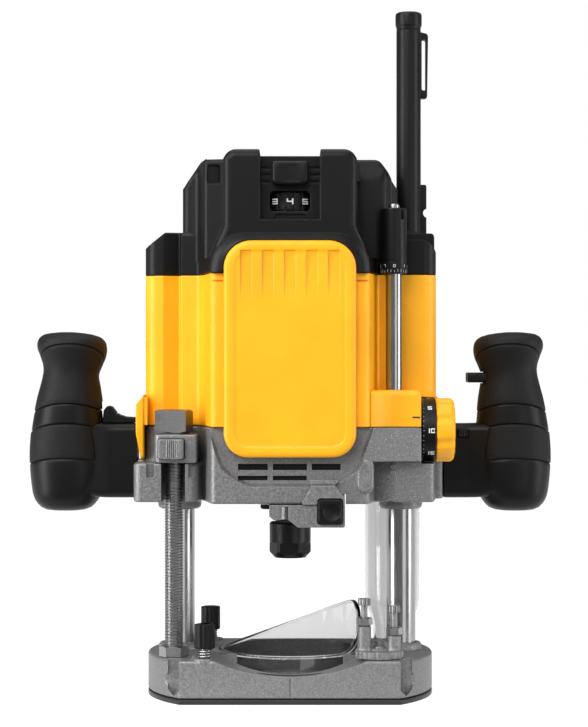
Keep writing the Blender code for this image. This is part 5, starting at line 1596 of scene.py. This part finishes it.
def softbox(name, at, look_at, width, height, power):
    light = bpy.data.lights.new(name, "AREA")
    light.shape = "RECTANGLE"
    light.size, light.size_y = width, height
    light.energy = power
    obj = linked(name, light)
    obj.location = at
    obj.rotation_euler = (Vector((0, 0, look_at)) - Vector(at)).to_track_quat("-Z", "Y").to_euler()


def build_floor():
    """A pale floor that starts just in front of the base."""
    floor_material, tree, shader = start("floor_paint", (0.25, 0.25, 0.25), 0.9)
    shader.inputs["Specular IOR Level"].default_value = 0.0
    speckle = noise(tree, place(tree), 40.0, 2.0)
    tone = blend_colour(tree, speckle, (0.24, 0.24, 0.24), (0.26, 0.26, 0.26))
    tree.links.new(tone, shader.inputs["Base Color"])
    shader.inputs["Emission Color"].default_value = (1.0, 1.0, 1.0, 1.0)
    shader.inputs["Emission Strength"].default_value = 0.86
    mesh = bpy.data.meshes.new("floor")
    half, front = 12.0, -0.14
    mesh.from_pydata([(-half, front, 0), (half, front, 0), (half, half, 0), (-half, half, 0)], [],
                     [(0, 1, 2, 3)])
    mesh.materials.append(floor_material)
    floor = linked("floor", mesh)


def build_lights():
    """Soft boxes under an even sky, which is grey as a light and white as the backdrop."""
    world = bpy.data.worlds.new("studio")
    bpy.context.scene.world = world
    world.use_nodes = True
    tree = world.node_tree
    background = tree.nodes["Background"]
    background.inputs["Strength"].default_value = 1.0
    path = node(tree, "ShaderNodeLightPath")
    seen = math_node(tree, "MAXIMUM", path.outputs["Is Camera Ray"], path.outputs["Is Transmission Ray"])
    tone = blend_colour(tree, seen, (0.26, 0.26, 0.26), (1.0, 1.0, 1.0))
    tree.links.new(tone, background.inputs["Color"])
    sun = bpy.data.lights.new("even_light", "SUN")
    sun.energy = 1.35
    sun.angle = math.radians(70)
    linked("even_light", sun).rotation_euler = (math.radians(28), math.radians(-14), 0)
    for values in SOFTBOXES:
        softbox(*values)


CAMERA_PLACE = (0.0023, -1.37, 0.1969)
CAMERA_LENS = 112.9  # millimetres
SENSOR_WIDTH = 36.0  # millimetres


def build_camera():
    data = bpy.data.cameras.new("camera")
    data.lens = CAMERA_LENS
    data.sensor_width = SENSOR_WIDTH
    camera = linked("camera", data)
    camera.location = CAMERA_PLACE
    camera.rotation_euler = (math.radians(90), 0, 0)
    bpy.context.scene.camera = camera
    bpy.context.scene.view_settings.view_transform = "Standard"


build_base()
build_columns()
build_shroud()
build_height_screw()
build_turret()
build_fence_clamps()
build_casting()
build_quick_release()
build_housing()
build_front_panel()
build_gear_cover()
build_cover()
build_switches()
build_mast()
build_spindle()
build_spindle_lock()
build_depth_stop()
build_depth_dial()
build_handles()
build_controls()
build_plunge_springs()
finish_pinion()
build_floor()
build_lights()
build_camera()
